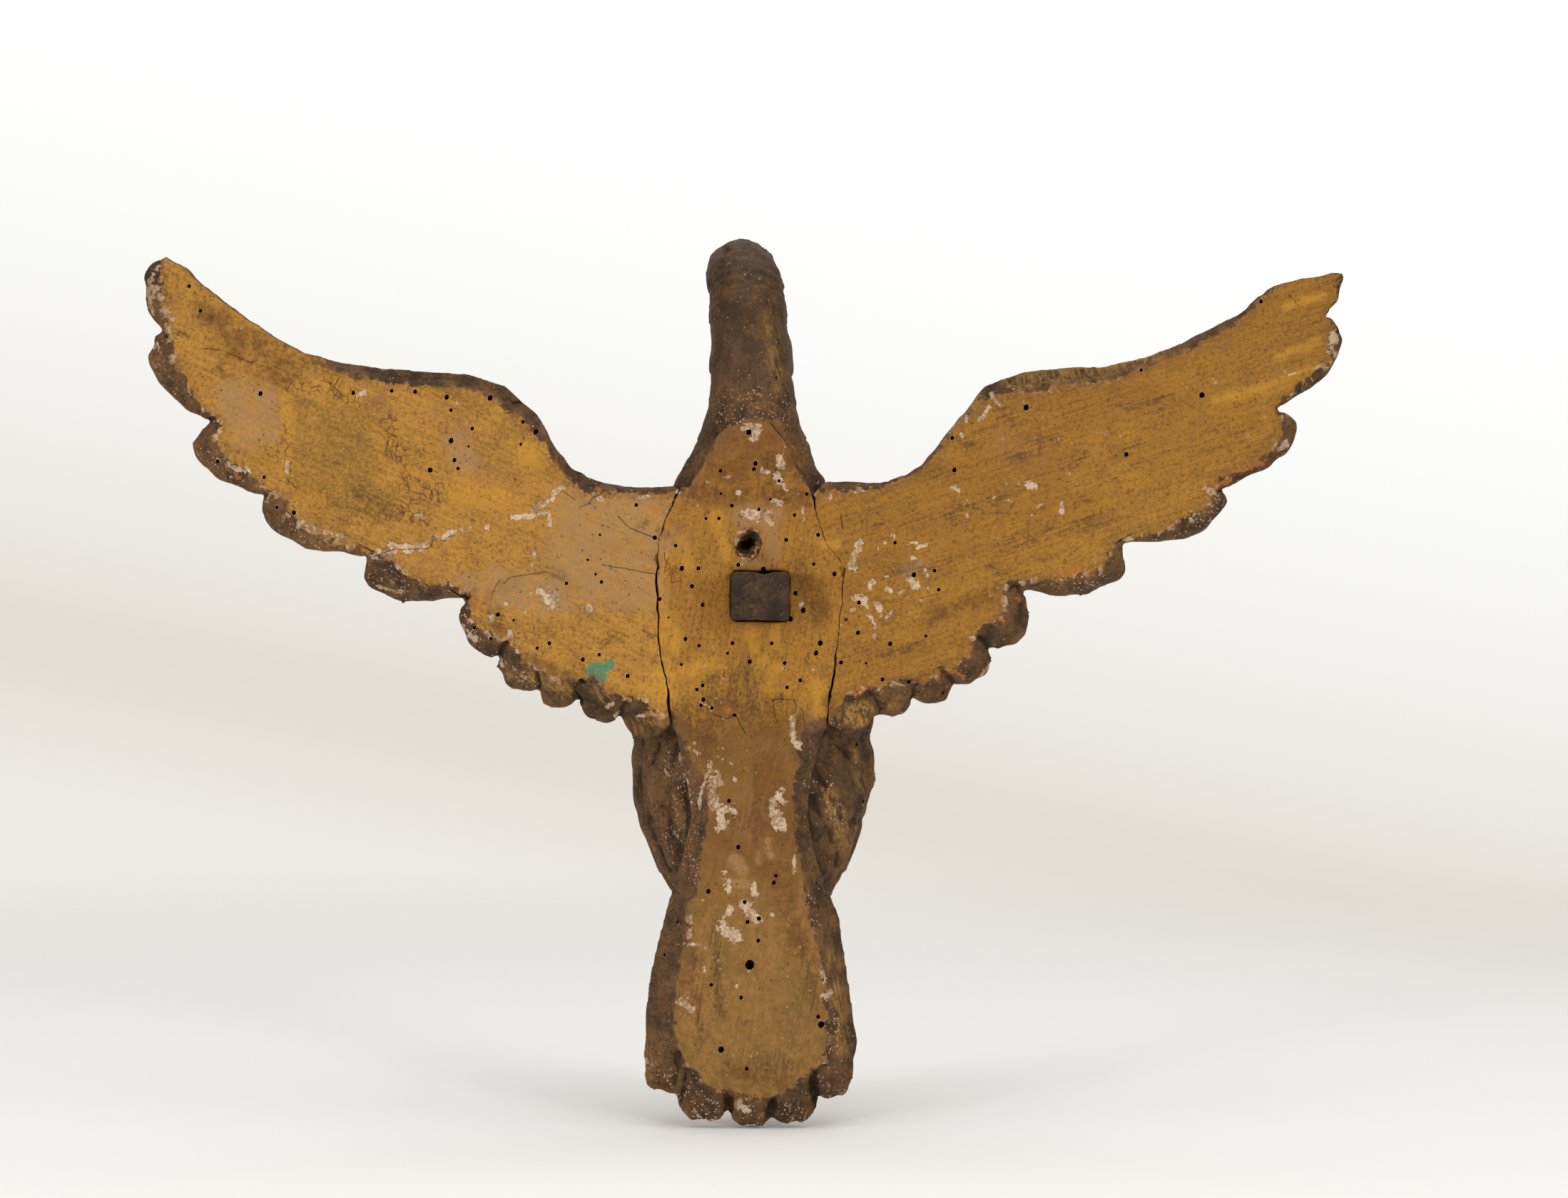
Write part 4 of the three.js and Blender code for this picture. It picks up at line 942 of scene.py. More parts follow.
def carve_neck(skin, barb_depth):
    """A smooth round neck with faint rows of feathers that grow towards the bend."""
    share = np.linspace(0, 1, NECK_POINTS)
    line = curve_through(NECK_STATIONS, share)
    near = np.where(skin.points[:, 2] > NECK_FOOT[0])[0]
    x, y, z = skin.points[near].T
    best, way, _, out = beside_line(np.stack([y, z], axis=1), line[:, :2])
    forward_way, upward_way = way.T
    _, _, wide, deep, sideways = line[best].T
    angle, reach, lift = round_form(x - sideways, out, wide, deep)
    t = 1 - share[best]
    along, across = scale_feathers(t, angle, NECK_ROWS, NECK_AROUND)
    front = front_half(angle)
    nape = 1 - front
    strength = np.maximum(front, 1 - smooth_step(0.3, 0.5, t)) * mix(1, 0.35, nape)
    half = math.pi * reach / NECK_AROUND
    relief = feather_relief(along * NECK_FEATHER, across * half, half, barb_depth)
    wanted = NECK_PROUD * mix(0.1, 1.2, strength) * along + relief * mix(0.05, 0.7, strength)
    wanted += 0.4 * np.sin(TURN * t * 50) * bell(t - 0.36, 0.07) * nape
    outward = np.stack([np.cos(angle), np.sin(angle) * upward_way, -np.sin(angle) * forward_way], axis=1)
    on_neck = smooth_step(0.3, 0.6, skin.facing(outward, near)) * close_by(lift, wanted)
    on_neck *= smooth_step(0.02, 0.06, t) * smooth_step(0.8, 2.5, y) * smooth_step(*NECK_FOOT, z)
    skin.shift(outward, (wanted - lift) * on_neck, near)
    skin.write()


def carve_head(skin):
    """A rounded head with lids round the eyes, a mouth line and nostrils."""
    start = np.array(HEAD_START, float)
    way = np.array(HEAD_END, float) - start
    way /= np.linalg.norm(way)
    out = np.array([0, -way[2], way[1]])
    out /= np.linalg.norm(out)
    sideways = np.cross(way, out)
    distance, side, forward = ((skin.points - start) @ axis for axis in (way, sideways, out))
    line = curve_through(HEAD_STATIONS, np.linspace(0, 1, HEAD_POINTS))
    wide, deep = (np.interp(distance, line[:, 0], line[:, k]) for k in (1, 2))
    angle, _, lift = round_form(side, forward, wide, deep)
    outward = np.cos(angle)[:, None] * sideways + np.sin(angle)[:, None] * out
    on_head = smooth_step(3, 9, distance) * (1 - smooth_step(80, 83, distance))
    on_head *= smooth_step(0.5, 0.8, skin.facing(outward))
    on_head *= 1 - smooth_step(1.2, 2.6, np.abs(lift))
    mouth = bell(forward + 0.12 * deep, 0.9) * smooth_step(46, 52, distance)
    nostril = bell(forward - 0.55 * deep, 1.2) * bell(distance - 60, 3.5) * (np.abs(side) > 2)
    wanted = -0.9 * mouth - 0.8 * nostril
    skin.shift(outward, (wanted - lift) * on_head)
    from_eye, above_eye = distance - EYE["distance"], forward - EYE["forward"]
    eye = np.hypot(from_eye, above_eye)
    beside = (np.abs(side) > 10) & (np.abs(from_eye) < 12) & (np.abs(forward) < 20)
    lid = 0.8 * bell(eye - EYE["radius"] - 1.6, 1.0) - 0.7 * bell(eye - EYE["radius"] - 0.1, 0.7)
    skin.shift(outward, lid * beside)


def lay_of(flat, one, two, reach, stagger):
    """Place from a feather's tip and across it, its half width and tip, and where it covers."""
    tip, root, heading, half, tip_length = (
        mix(one[key], two[key], stagger) for key in ("tip", "root", "heading", "half_width", "tip_length")
    )
    bend = np.array([math.cos(math.radians(heading)), math.sin(math.radians(heading))]) * FEATHER_BEND
    control = tip - bend * np.hypot(*(tip - root))
    share = np.linspace(0, 1, FEATHER_POINTS)[:, None]
    line = (1 - share) ** 2 * root + 2 * share * (1 - share) * control + share**2 * tip
    length = np.concatenate([[0], np.cumsum(np.hypot(*np.diff(line, axis=0).T))])
    places = np.linspace(0, reach, FEATHER_POINTS) * length[-1]
    line = np.stack([np.interp(places, length, line[:, k]) for k in (0, 1)], axis=1)
    best, _, along, across = beside_line(flat, line)
    full = length[-1] * reach
    from_tip = full - best / (FEATHER_POINTS - 1) * full - along
    round_half = half * np.sqrt(clamp(1 - clamp(1 - from_tip / tip_length) ** 2, 0, 1))
    covers = (from_tip > 0) & (np.abs(across) < round_half) & ~((best == 0) & (along < -1))
    return from_tip, across, half, tip_length, covers


def feathered_front(flat, feathers, rows, depth_at, barb_depth):
    """The height of the carved front over the flat back, as the highest feather at each point."""
    front = np.full(len(flat), -1.0)
    for reach, stagger, rise in rows:
        for k in range(len(feathers) - (stagger > 0)):
            two = feathers[min(k + 1, len(feathers) - 1)]
            s, across, half, tip_length, covers = lay_of(flat, feathers[k], two, reach, stagger)
            crown = np.sqrt(clamp((s + 3) / (tip_length + 3)))
            depth = (depth_at(flat) + rise) * mix(0.72, 1, crown)
            a = across / half
            bow = np.where(a < 0, 0.26 * np.abs(a) ** 2.2, 0.1 * np.abs(a) ** 2.5)
            if rise > 0:
                bow = bow * 0.8
            relief = feather_relief(s, across, half, barb_depth)
            height = depth * (1 - bow) + relief - 1.1 * smooth_step(0.9, 1, np.abs(a))
            front = np.where(covers & (height > front), height, front)
    return front


def wing_pattern(points, side):
    """Places on a wing as places on the left wing's pattern."""
    out, height = np.abs(points[:, 0]), points[:, 2].copy()
    if side > 0:
        w = RIGHT_WING
        out = out + w["short"] * clamp((out - w["short_from"]) / w["short_over"])
        raised = mix(*w["lift"], clamp((height - w["lift_from"]) / w["lift_over"]))
        height = height - raised * clamp((out - height) / w["lift_span"])
    return np.stack([out, height], axis=1)


def wing_depth(flat):
    return mix(DEPTH_AT_ROOT, DEPTH_AT_TIP, clamp(flat[:, 0] / WING_REACH))


def tail_depth(flat):
    return np.full(len(flat), TAIL_DEPTH)


def arm_front(flat):
    """The height of the round arm along the wing's leading edge."""
    share = np.linspace(0, 1, ARM_POINTS)
    best, _, _, across = beside_line(flat, curve_through(LEADING_EDGE, share))
    t = share[best]
    width = mix(ARM["root"], ARM["tip"], t)
    depth = wing_depth(flat) + ARM["rise"] * (1 - t * t)
    crest = np.array(ARM_CREST)
    height = depth * np.interp(across / width, crest[:, 0], crest[:, 1], left=0, right=0)
    scales = 0.5 * np.sin(across / 2.4) * np.sin(t * 70)
    return np.where(height > 1, height + scales, -1)


def carve_wing_front(skin, side, barb_depth):
    """Long flight feathers, two rows of coverts and the arm over the front of a wing."""
    above_board = BOARD_DEPTH * 0.6
    chosen = np.where((skin.normals[:, 1] > 0.25) & (skin.points[:, 1] > above_board))[0]
    flat = wing_pattern(skin.points[chosen], side)
    front = feathered_front(flat, FLIGHT_FEATHERS, FEATHER_ROWS, wing_depth, barb_depth)
    front = np.maximum(front, arm_front(flat))
    under_arm = line_distance(flat, LEADING_EDGE) < ARM_COVER["reach"]
    front = np.where(under_arm, np.maximum(front, ARM_COVER["share"] * wing_depth(flat)), front)
    change = np.where(front > above_board, front - skin.points[chosen, 1], 0)
    weight = smooth_step(0.25, 0.6, skin.normals[chosen, 1])
    skin.points[chosen, 1] += clamp(change, -4, 9) * weight
    skin.write()


def carve_tail_front(skin, barb_depth):
    """Two rows of long feathers over the front of the tail."""
    middle = (len(TAIL_FEATHERS) - 1) / 2
    feathers = [
        {**one, "root": np.array([TAIL_ROOT_SPACING * (k - middle), TAIL_ROOT_HEIGHT], float)}
        for k, one in enumerate(TAIL_FEATHERS)
    ]
    _, y, z = skin.points.T
    chosen = np.where((skin.normals[:, 1] > 0.4) & (z < -100) & (y > 8) & (y < 32))[0]
    flat = skin.points[chosen][:, [0, 2]]
    front = feathered_front(flat, feathers, TAIL_ROWS, tail_depth, barb_depth)
    change = np.where(front > 5, front - skin.points[chosen, 1], 0)
    weight = smooth_step(0.4, 0.7, skin.normals[chosen, 1]) * (np.abs(change) < 5)
    skin.points[chosen, 1] += change * weight
    skin.write()


def carve_tool_marks(skin, depth, seed):
    """Shallow gouge marks on all but the flat back, and nicks along the sharp edges."""
    off_back = smooth_step(0.5, 2.5, skin.points[:, 1])
    marks_long = rough_noise(skin.points, (7, 7, 22), seed)
    marks_fine = rough_noise(skin.points, (2.6, 2.6, 9), seed + 5)
    skin.push((depth * marks_long + 0.35 * depth * marks_fine) * off_back)
    skin.write()
    ridge = smooth_step(0.12, 0.5, -skin.hollowness(3))
    nick = smooth_step(0.25, 0.9, rough_noise(skin.points, 6, seed + 31))
    nick *= 1 - smooth_step(*NICKS_END, np.abs(skin.points[:, 0]))
    skin.push(-0.9 * ridge * nick)
    skin.write()


def press_back(skin, chosen, depth, weight=1.0):
    """Sinks the chosen points that face backwards to a depth below the plane of the flat back."""
    weight = smooth_step(0.12, 0.4, -skin.normals[chosen, 1]) * weight
    skin.points[chosen, 1] += (depth - skin.points[chosen, 1]) * weight
    skin.write()


def round_knobs(skin, side, outline):
    """Rounds the back of a wing off beyond its paint, with a crease between each two feathers."""
    chosen = np.where((skin.normals[:, 1] < -0.12) & (skin.points[:, 1] < BOARD_DEPTH + 4))[0]
    points = skin.points[chosen]
    outside = -paint_depth(points, outline)
    flat = wing_pattern(points, side)
    crease = np.full(len(points), 2.0)
    for one in FLIGHT_FEATHERS:
        from_tip, across, half, _, _ = lay_of(flat, one, one, 1, 0)
        crease = np.where(from_tip < KNOB["length"], np.minimum(crease, np.abs(across) / half), crease)
    share = clamp(outside / KNOB["round_over"])
    depth = KNOB["sunk"] * (1 - np.sqrt(1 - share**2))
    depth = depth + KNOB["crease"] * smooth_step(0.55, 1.05, crease) * smooth_step(1, 5, outside)
    shallow = np.minimum(depth, KNOB["sunk_above"])
    press_back(skin, chosen, np.where(flat[:, 1] > KNOB["below"], shallow, depth))


def round_tail_tips(skin):
    """Rounds the ends of the tail feathers off below the painted panel."""
    _, y, z = skin.points.T
    chosen = np.where((skin.normals[:, 1] < -0.12) & (y < 14) & (z < -196))[0]
    points = skin.points[chosen]
    outside = -paint_depth(points, BLOCK_PAINT)
    nearest, crease = np.full(len(points), 99.0), np.full(len(points), 2.0)
    for one in TAIL_FEATHERS:
        heading = math.radians(one["heading"])
        aside = np.array([math.sin(heading), -math.cos(heading)])
        across = np.abs((points[:, [0, 2]] - one["tip"]) @ aside)
        crease = np.where(across < nearest, across / one["half_width"], crease)
        nearest = np.minimum(nearest, across)
    depth = 1.5 * smooth_step(0, 2, outside) + 5 * clamp(outside / 16) ** 2
    depth += 4.5 * smooth_step(0.45, 1.0, crease) * smooth_step(1, 6, outside)
    side = smooth_step(0.55, 1, np.abs(points[:, 0]) / 50)
    press_back(skin, chosen, mix(depth, points[:, 1], side * 0.5), smooth_step(*TAIL_TIPS, points[:, 2]))


def carve_flanks(skin, seed):
    """Soft grooves between the long feathers on the flanks, and an uneven outline."""
    _, y, z = skin.points.T
    facing = smooth_step(-0.2, 0.3, -skin.normals[:, 1])
    flank = smooth_step(*FLANK_FRONT, y) * smooth_step(*FLANK_TOP, z) * facing
    pixels = on_photo(skin.points, GROOVE_WANDER)
    depth = np.zeros(len(skin.points))
    for groove in FLANK_GROOVES:
        near, there = crack_lines(pixels, [groove])
        depth = np.maximum(depth, bell(near, 2.2) * there)
        depth = depth - 0.6 * bell(near - 5.5, 3.2) * there
    swell = rough_noise(skin.points, (16, 16, 26), seed + 44, 2)
    skin.push((-1.5 * depth + 1.0 * swell) * flank)
    skin.write()


def nudge(skin, nudges):
    """Corrects the outline at some places of the photograph."""
    pixels = on_photo(skin.points)
    for px, py, right, down, reach in nudges:
        pull = bell(np.hypot(pixels[:, 0] - px, pixels[:, 1] - py), reach) * MM_PER_PIXEL
        skin.points[:, 0] += right * pull
        skin.points[:, 2] -= down * pull
    skin.write()


def level_tip(skin, edge):
    """Fills the notches of a wing's top edge up to a line of the photograph."""
    pixels = on_photo(skin.points)
    line = np.array(edge, float)
    gap = (pixels[:, 1] - np.interp(pixels[:, 0], line[:, 0], line[:, 1])) * MM_PER_PIXEL
    upper = smooth_step(0.1, 0.5, skin.normals[:, 2]) * smooth_step(6, 4, np.abs(gap))
    upper *= smooth_step(line[0, 0], line[1, 0], pixels[:, 0]) * (skin.points[:, 0] > 0)
    skin.points[:, 2] += gap * upper
    skin.write()
    soften(skin, smooth_step(12, 5, np.abs(gap)) * (upper > 0), 3)


def cut_creases(skin, creases, width, depth):
    """Cuts soft V grooves into the back and round its edge, along lines of the photograph."""
    pixels = on_photo(skin.points, CRACK_WANDER)
    deep = np.zeros(len(skin.points))
    for crease in creases:
        near, there = crack_lines(pixels, [crease])
        deep = np.maximum(deep, bell(near, width) * there)
    on_back = smooth_step(0.5, -0.1, skin.normals[:, 1]) * (skin.points[:, 1] < 22)
    skin.push(-depth * deep * on_back)
    skin.write()


def tighten_joint(skin, joint, seed):
    """Squares the rim along a joint and closes most of its gap."""
    near = 1 - smooth_step(*JOINT_REACH, line_distance(skin.points[:, [0, 2]], joint))
    backward = -skin.normals[:, 1]
    rim = near * smooth_step(0.1, 0.3, backward) * (skin.points[:, 1] < 2.6)
    skin.points[:, 1] *= 1 - 0.85 * rim
    wall = near * (skin.points[:, 1] < 14) * (1 - smooth_step(0.85, 0.97, backward))
    swell = 0.02 + 0.5 * rough_noise(skin.points, (9, 40, 12), seed)
    skin.points[:, [0, 2]] += skin.normals[:, [0, 2]] * (swell * wall)[:, None]
    skin.write()


def soften(skin, chosen, rounds):
    """Evens out the chosen part of the skin."""
    skin.points += (skin.averaged(skin.points, rounds) - skin.points) * chosen[:, None]
    skin.write()


def wear_back(skin, waves, seed):
    """Makes the flat back uneven, with shallow losses, sunken cracks and a thin skin of paint."""
    pixels = on_photo(skin.points, EDGE_WANDER)
    flat = smooth_step(0.3, 0.8, -skin.normals[:, 1])
    ragged = rough_noise(skin.points, (3.2, 50, 3.2), seed + 3)
    loss = smooth_step(-0.05, 0.12, marks(pixels, LOSSES) + 0.45 * ragged)
    signed, there = crack_lines(on_photo(skin.points, CRACK_WANDER), CRACKS)
    canvas = smooth_step(0, 0.4, marks(pixels, CANVAS_PATCH))
    wrinkle = smooth_step(0, 0.5, marks(pixels, CRACKLE)) * rough_noise(skin.points, (3, 50, 3), seed + 9)
    groove = bell(pixels[:, 0] - ROOT_GROOVE["column"], ROOT_GROOVE["half"])
    groove *= smooth_step(*ROOT_GROOVE["start"], pixels[:, 1])
    groove *= 1 - smooth_step(*ROOT_GROOVE["end"], pixels[:, 1])
    hollow = smooth_step(0, 0.6, marks(pixels, JOINT_HOLLOWS))
    sink = waves * (0.5 + 0.5 * rough_noise(skin.points, (34, 80, 26), seed))
    sink += 0.12 * rough_noise(skin.points, (60, 60, 9), seed + 12)
    cracked = 0.4 * bell(signed, 0.7) * there
    sink += 0.3 * loss + cracked - 0.35 * canvas + 0.5 * wrinkle + 1.3 * groove + 2 * hollow
    skin.points[:, 1] += sink * flat


def shake(skin):
    """Shifts all points a little, alike on every piece, so that no edge or joint stays straight."""
    far = (skin.points[:, 1] < 30)[:, None]
    flat = skin.points[:, [0, 2]]
    joint = bell(np.minimum(line_distance(flat, LEFT_JOINT), line_distance(flat, RIGHT_JOINT)), 6)
    for k in (0, 2):
        drift = 0.8 * rough_noise(skin.points, (22, 60, 22), 90 + k)
        drift = drift + 0.35 * rough_noise(skin.points, (6, 30, 6), 95 + k)
        drift = drift + joint * (0.8 * rough_noise(skin.points, (11, 60, 11), 97 + k))
        skin.points[:, [k]] += drift[:, None] * far
    skin.write()


def knot_ring(points, seed):
    """0 in the middle of the torn knot hole and 1 at its outer rim, with the turn round it."""
    across, up = points[:, 0] - KNOT_CENTRE[0], points[:, 2] - KNOT_CENTRE[1]
    ring = np.hypot(across / KNOT_HALF[0], up / KNOT_HALF[1])
    return ring + 0.1 * rough_noise(points, (3, 6, 3), seed + 61), np.arctan2(up, across)


def turn_from(turn, middle):
    """How far a turn is from another, from minus to plus half a turn."""
    return np.mod(turn - middle + math.pi, TURN) - math.pi


def carve_knot(skin, seed):
    """The torn knot hole above the peg, with loose fibres round its rim."""
    ring, turn = knot_ring(skin.points, seed)
    y = skin.points[:, 1]
    facing = smooth_step(0.2, 0.7, -skin.normals[:, 1])
    bowl = (1 - smooth_step(0.4, 1.0, ring)) * facing * (y < 6)
    strands = lattice_noise(np.stack([turn * 4, y * 0.4, ring * 1.5], axis=1), 1, seed + 62)
    fibres = strands * bell(ring - 0.8, 0.3) * facing * (y < 4)
    skin.points[:, 1] += KNOT_DEPTH * bowl + 0.7 * fibres
    away = skin.points[:, [0, 2]] - KNOT_CENTRE
    wall = (ring < 0.95) & (y > 1.5) & (y < 16)
    lower_right = bell(turn_from(turn, -1.0), 0.9)
    upper_left = bell(turn_from(turn, 2.0), 0.8) * (y < 7)
    reach = clamp(-0.2 + 0.55 * lower_right + 0.45 * upper_left + 0.35 * strands, -0.1, 0.75)
    skin.points[:, [0, 2]] -= away * (reach * wall)[:, None]


def hole_cutter(holes, material, seed):
    """One mesh of slim pins, each pushed into the back or along its own direction."""
    rng = np.random.default_rng(seed)
    bpy.ops.object.select_all(action="DESELECT")
    bpy.ops.mesh.primitive_cylinder_add(vertices=HOLE_SIDES, radius=1, depth=1, end_fill_type="TRIFAN")
    pin = bpy.context.active_object
    shape = read_rows(pin.data.vertices, "co", 3).astype(float)
    copies = []
    for centre, direction, radius in holes:
        direction = np.array(direction, float) + rng.normal(0, HOLE_LEAN, 3)
        direction /= np.linalg.norm(direction)
        aside = np.cross(direction, HOLE_ASIDE)
        aside /= np.linalg.norm(aside)
        up = np.cross(direction, aside)
        long = radius * rng.uniform(*HOLE_OVAL)
        inside = HOLE_DEPTH * rng.uniform(*HOLE_DEPTHS)
        middle = np.array(centre, float) + direction * (inside - PIN_PROUD) / 2
        section = shape[:, [0]] * radius * aside + shape[:, [1]] * long * up
        copy = bpy.data.objects.new("Drill", pin.data.copy())
        bpy.context.collection.objects.link(copy)
        move_vertices(copy.data, middle + section + shape[:, [2]] * (inside + PIN_PROUD) * direction)
        copies.append(copy)
    bpy.data.objects.remove(pin)
    select_only(*copies)
    bpy.ops.object.join()
    cutter = bpy.context.active_object
    cutter.data.materials.clear()
    cutter.data.materials.append(material)
    use_tool(cutter, bpy.ops.mesh.normals_make_consistent, inside=False)
    return cutter


def back_holes(photo_holes):
    """Beetle holes on the flat back, as centre, direction and radius in millimetres."""
    holes = []
    for px, py, radius in photo_holes:
        across, up = (px - PHOTO_ORIGIN[0]) * MM_PER_PIXEL, (PHOTO_ORIGIN[1] - py) * MM_PER_PIXEL
        holes.append(((across, 0, up), (0, 1, 0), radius))
    return holes


def stray_holes(skin, count, seed):
    """Beetle holes scattered over the sides and the front."""
    rng = np.random.default_rng(seed)
    open_side = np.where(skin.points[:, 1] > 5)[0]
    chosen = rng.choice(open_side, count, replace=False)
    return [(skin.points[i], -skin.normals[i], rng.uniform(*STRAY_RADII)) for i in chosen]


def drill(piece, holes, material, seed):
    """Cuts the beetle holes, and leaves their insides dark."""
    cutter = hole_cutter(holes, material, seed)
    how = {"operation": "DIFFERENCE", "solver": "MANIFOLD", "material_mode": "TRANSFER"}
    finish_modifier(piece, "BOOLEAN", object=cutter, **how)
    bpy.data.objects.remove(cutter)
    drop_crumbs(piece)


def drop_crumbs(piece):
    """Deletes slivers that came loose between two holes."""
    select_only(piece)
    bpy.ops.object.mode_set(mode="EDIT")
    bpy.ops.mesh.select_mode(type="VERT")
    bpy.ops.mesh.select_all(action="DESELECT")
    bpy.ops.object.mode_set(mode="OBJECT")
    lowest = min(piece.data.vertices, key=lambda corner: corner.co.z)
    lowest.select = True
    bpy.ops.object.mode_set(mode="EDIT")
    bpy.ops.mesh.select_linked()
    bpy.ops.mesh.select_all(action="INVERT")
    bpy.ops.mesh.delete(type="VERT")
    bpy.ops.object.mode_set(mode="OBJECT")


def keep_marks(piece, outline, top_edge=None):
    """Stores where the paint, dirt, losses and cracks are, for the finish to read."""
    skin = Skin(piece)
    x, y, z = skin.points.T
    facing = -skin.averaged(skin.normals, 3)[:, 1]
    seen = smooth_step(-0.1, 0.25, facing)
    flat = smooth_step(0.35, 0.7, facing) * (1 - smooth_step(9, 13, y))
    signed, there = crack_lines(on_photo(skin.points, CRACK_WANDER), CRACKS)
    ring, _ = knot_ring(skin.points, 0)
    if top_edge is None:
        below = 0.3 * smooth_step(-190, -205, z) - 0.02
    else:
        below = smooth_step(9, 16, line_distance(wing_pattern(skin.points, np.sign(x.mean())), top_edge))
    kept = {
        "facing": facing,
        "edge": mix(-30, paint_depth(skin.points, outline), flat),
        "hollow": skin.averaged(skin.hollowness(4), 1),
        "broad_hollow": skin.hollowness(24),
        "crack": signed,
        "crack_there": there * seen,
        "flecked": mix(0.1, 1.0, below),
        "knot": (1 - ring) * (y < 20),
    }
    pixels = on_photo(skin.points, MARK_WANDER)
    for name, strokes in MARKS.items():
        kept[name] = mix(-1, marks(pixels, strokes), seen)
    for name, values in kept.items():
        skin.keep(name, values)


class Wire:
    """An output socket whose Python maths adds the nodes that work it out."""

    def __init__(self, recipe, socket):
        self.recipe = recipe
        self.socket = socket

    def maths(self, operation, *values):
        return self.recipe.node("ShaderNodeMath", {"operation": operation}, dict(enumerate(values)))

    def __add__(self, other):
        return self.maths("ADD", self, other)

    def __radd__(self, other):
        return self.maths("ADD", other, self)

    def __sub__(self, other):
        return self.maths("SUBTRACT", self, other)

    def __rsub__(self, other):
        return self.maths("SUBTRACT", other, self)

    def __mul__(self, other):
        return self.maths("MULTIPLY", self, other)

    def __rmul__(self, other):
        return self.maths("MULTIPLY", other, self)

    def __truediv__(self, other):
        return self.maths("DIVIDE", self, other)

    def __abs__(self):
        return self.maths("ABSOLUTE", self)

    def __or__(self, other):
        return self.maths("MAXIMUM", self, other)

    def torn(self, *swings):
        """The value torn up by noises about 0.5, each with its own strength."""
        value = self
        for noise, strength in swings:
            value = value + (noise - 0.5) * strength
        return value

    def step(self, low, high):
        """0 below low, 1 above high and smooth in between, or the other way round."""
        if low > high:
            return 1 - self.step(high, low)
        settings = {"interpolation_type": "SMOOTHSTEP"}
        return self.recipe.node("ShaderNodeMapRange", settings, {"Value": self, 1: low, 2: high})


class Recipe:
    """A material and the nodes that make it."""

    def __init__(self, name, owner=None):
        self.material = owner or bpy.data.materials.new(name)
        self.material.use_nodes = True
        self.tree = self.material.node_tree
        self.tree.nodes.clear()
        self.place = self.node("ShaderNodeTexCoord", output="Object")

    def node(self, kind, settings=None, inputs=None, output=0):
        """Adds a node, sets it up, feeds its sockets, and hands back one of its outputs."""
        made = self.tree.nodes.new(kind)
        for key, value in (settings or {}).items():
            if key == "stops":
                self.set_stops(made.color_ramp, value)
            else:
                setattr(made, key, value)
        for key, value in (inputs or {}).items():
            socket = made.inputs[key]
            if isinstance(value, Wire):
                self.tree.links.new(value.socket, socket)
            elif socket.type == "RGBA" and len(value) == 3:
                socket.default_value = (*value, 1)
            else:
                socket.default_value = value
        return Wire(self, made.outputs[output]) if len(made.outputs) else made

    @staticmethod
    def set_stops(ramp, stops):
        while len(ramp.elements) < len(stops):
            ramp.elements.new(1)
        for element, (position, colour) in zip(ramp.elements, stops):
            element.position = position
            element.color = (*colour, 1)

    def attribute(self, name):
        return self.node("ShaderNodeAttribute", {"attribute_name": name}, output="Fac")

    def stretched(self, scale, turn=(0, 0, 0)):
        """The piece's own coordinates, turned and then scaled."""
        turned = self.node("ShaderNodeMapping", None, {"Vector": self.place, "Rotation": turn})
        return self.node("ShaderNodeMapping", None, {"Vector": turned, "Scale": scale})

    def noise(self, scale, detail=4.0, roughness=0.55, place=None):
        inputs = {"Vector": place or self.place, "Scale": scale, "Detail": detail, "Roughness": roughness}
        return self.node("ShaderNodeTexNoise", {"noise_dimensions": "3D"}, inputs)

    def cells(self, scale, feature="F1", place=None, output="Distance"):
        settings = {"feature": feature, "voronoi_dimensions": "3D"}
        inputs = {"Vector": place or self.place, "Scale": scale}
        return self.node("ShaderNodeTexVoronoi", settings, inputs, output)

    def shards(self, scale):
        """One random value for each small angular patch."""
        return self.node("ShaderNodeSeparateColor", None, {"Color": self.cells(scale, output="Color")})

    def around(self, name, low=-1.0, high=0.6):
        """A stored mark as a soft cloud."""
        return self.attribute(name).step(low, high)

    def blend(self, factor, first, second):
        """Two colours mixed by a factor."""
        return self.node("ShaderNodeMix", {"data_type": "RGBA"}, {0: factor, 6: first, 7: second}, output=2)

    def coats(self, colour, *layers):
        """A colour with others laid over it, each with its strength and its mask."""
        for over, strength, mask in layers:
            colour = self.blend(mask * strength, colour, over)
        return colour

    def bump(self, height, strength, distance):
        inputs = {"Height": height, "Strength": strength, "Distance": distance}
        return self.node("ShaderNodeBump", None, inputs)

    def surface(self, sockets):
        shader = self.node("ShaderNodeBsdfPrincipled", None, sockets)
        self.node("ShaderNodeOutputMaterial", None, {"Surface": shader})
        return self.material


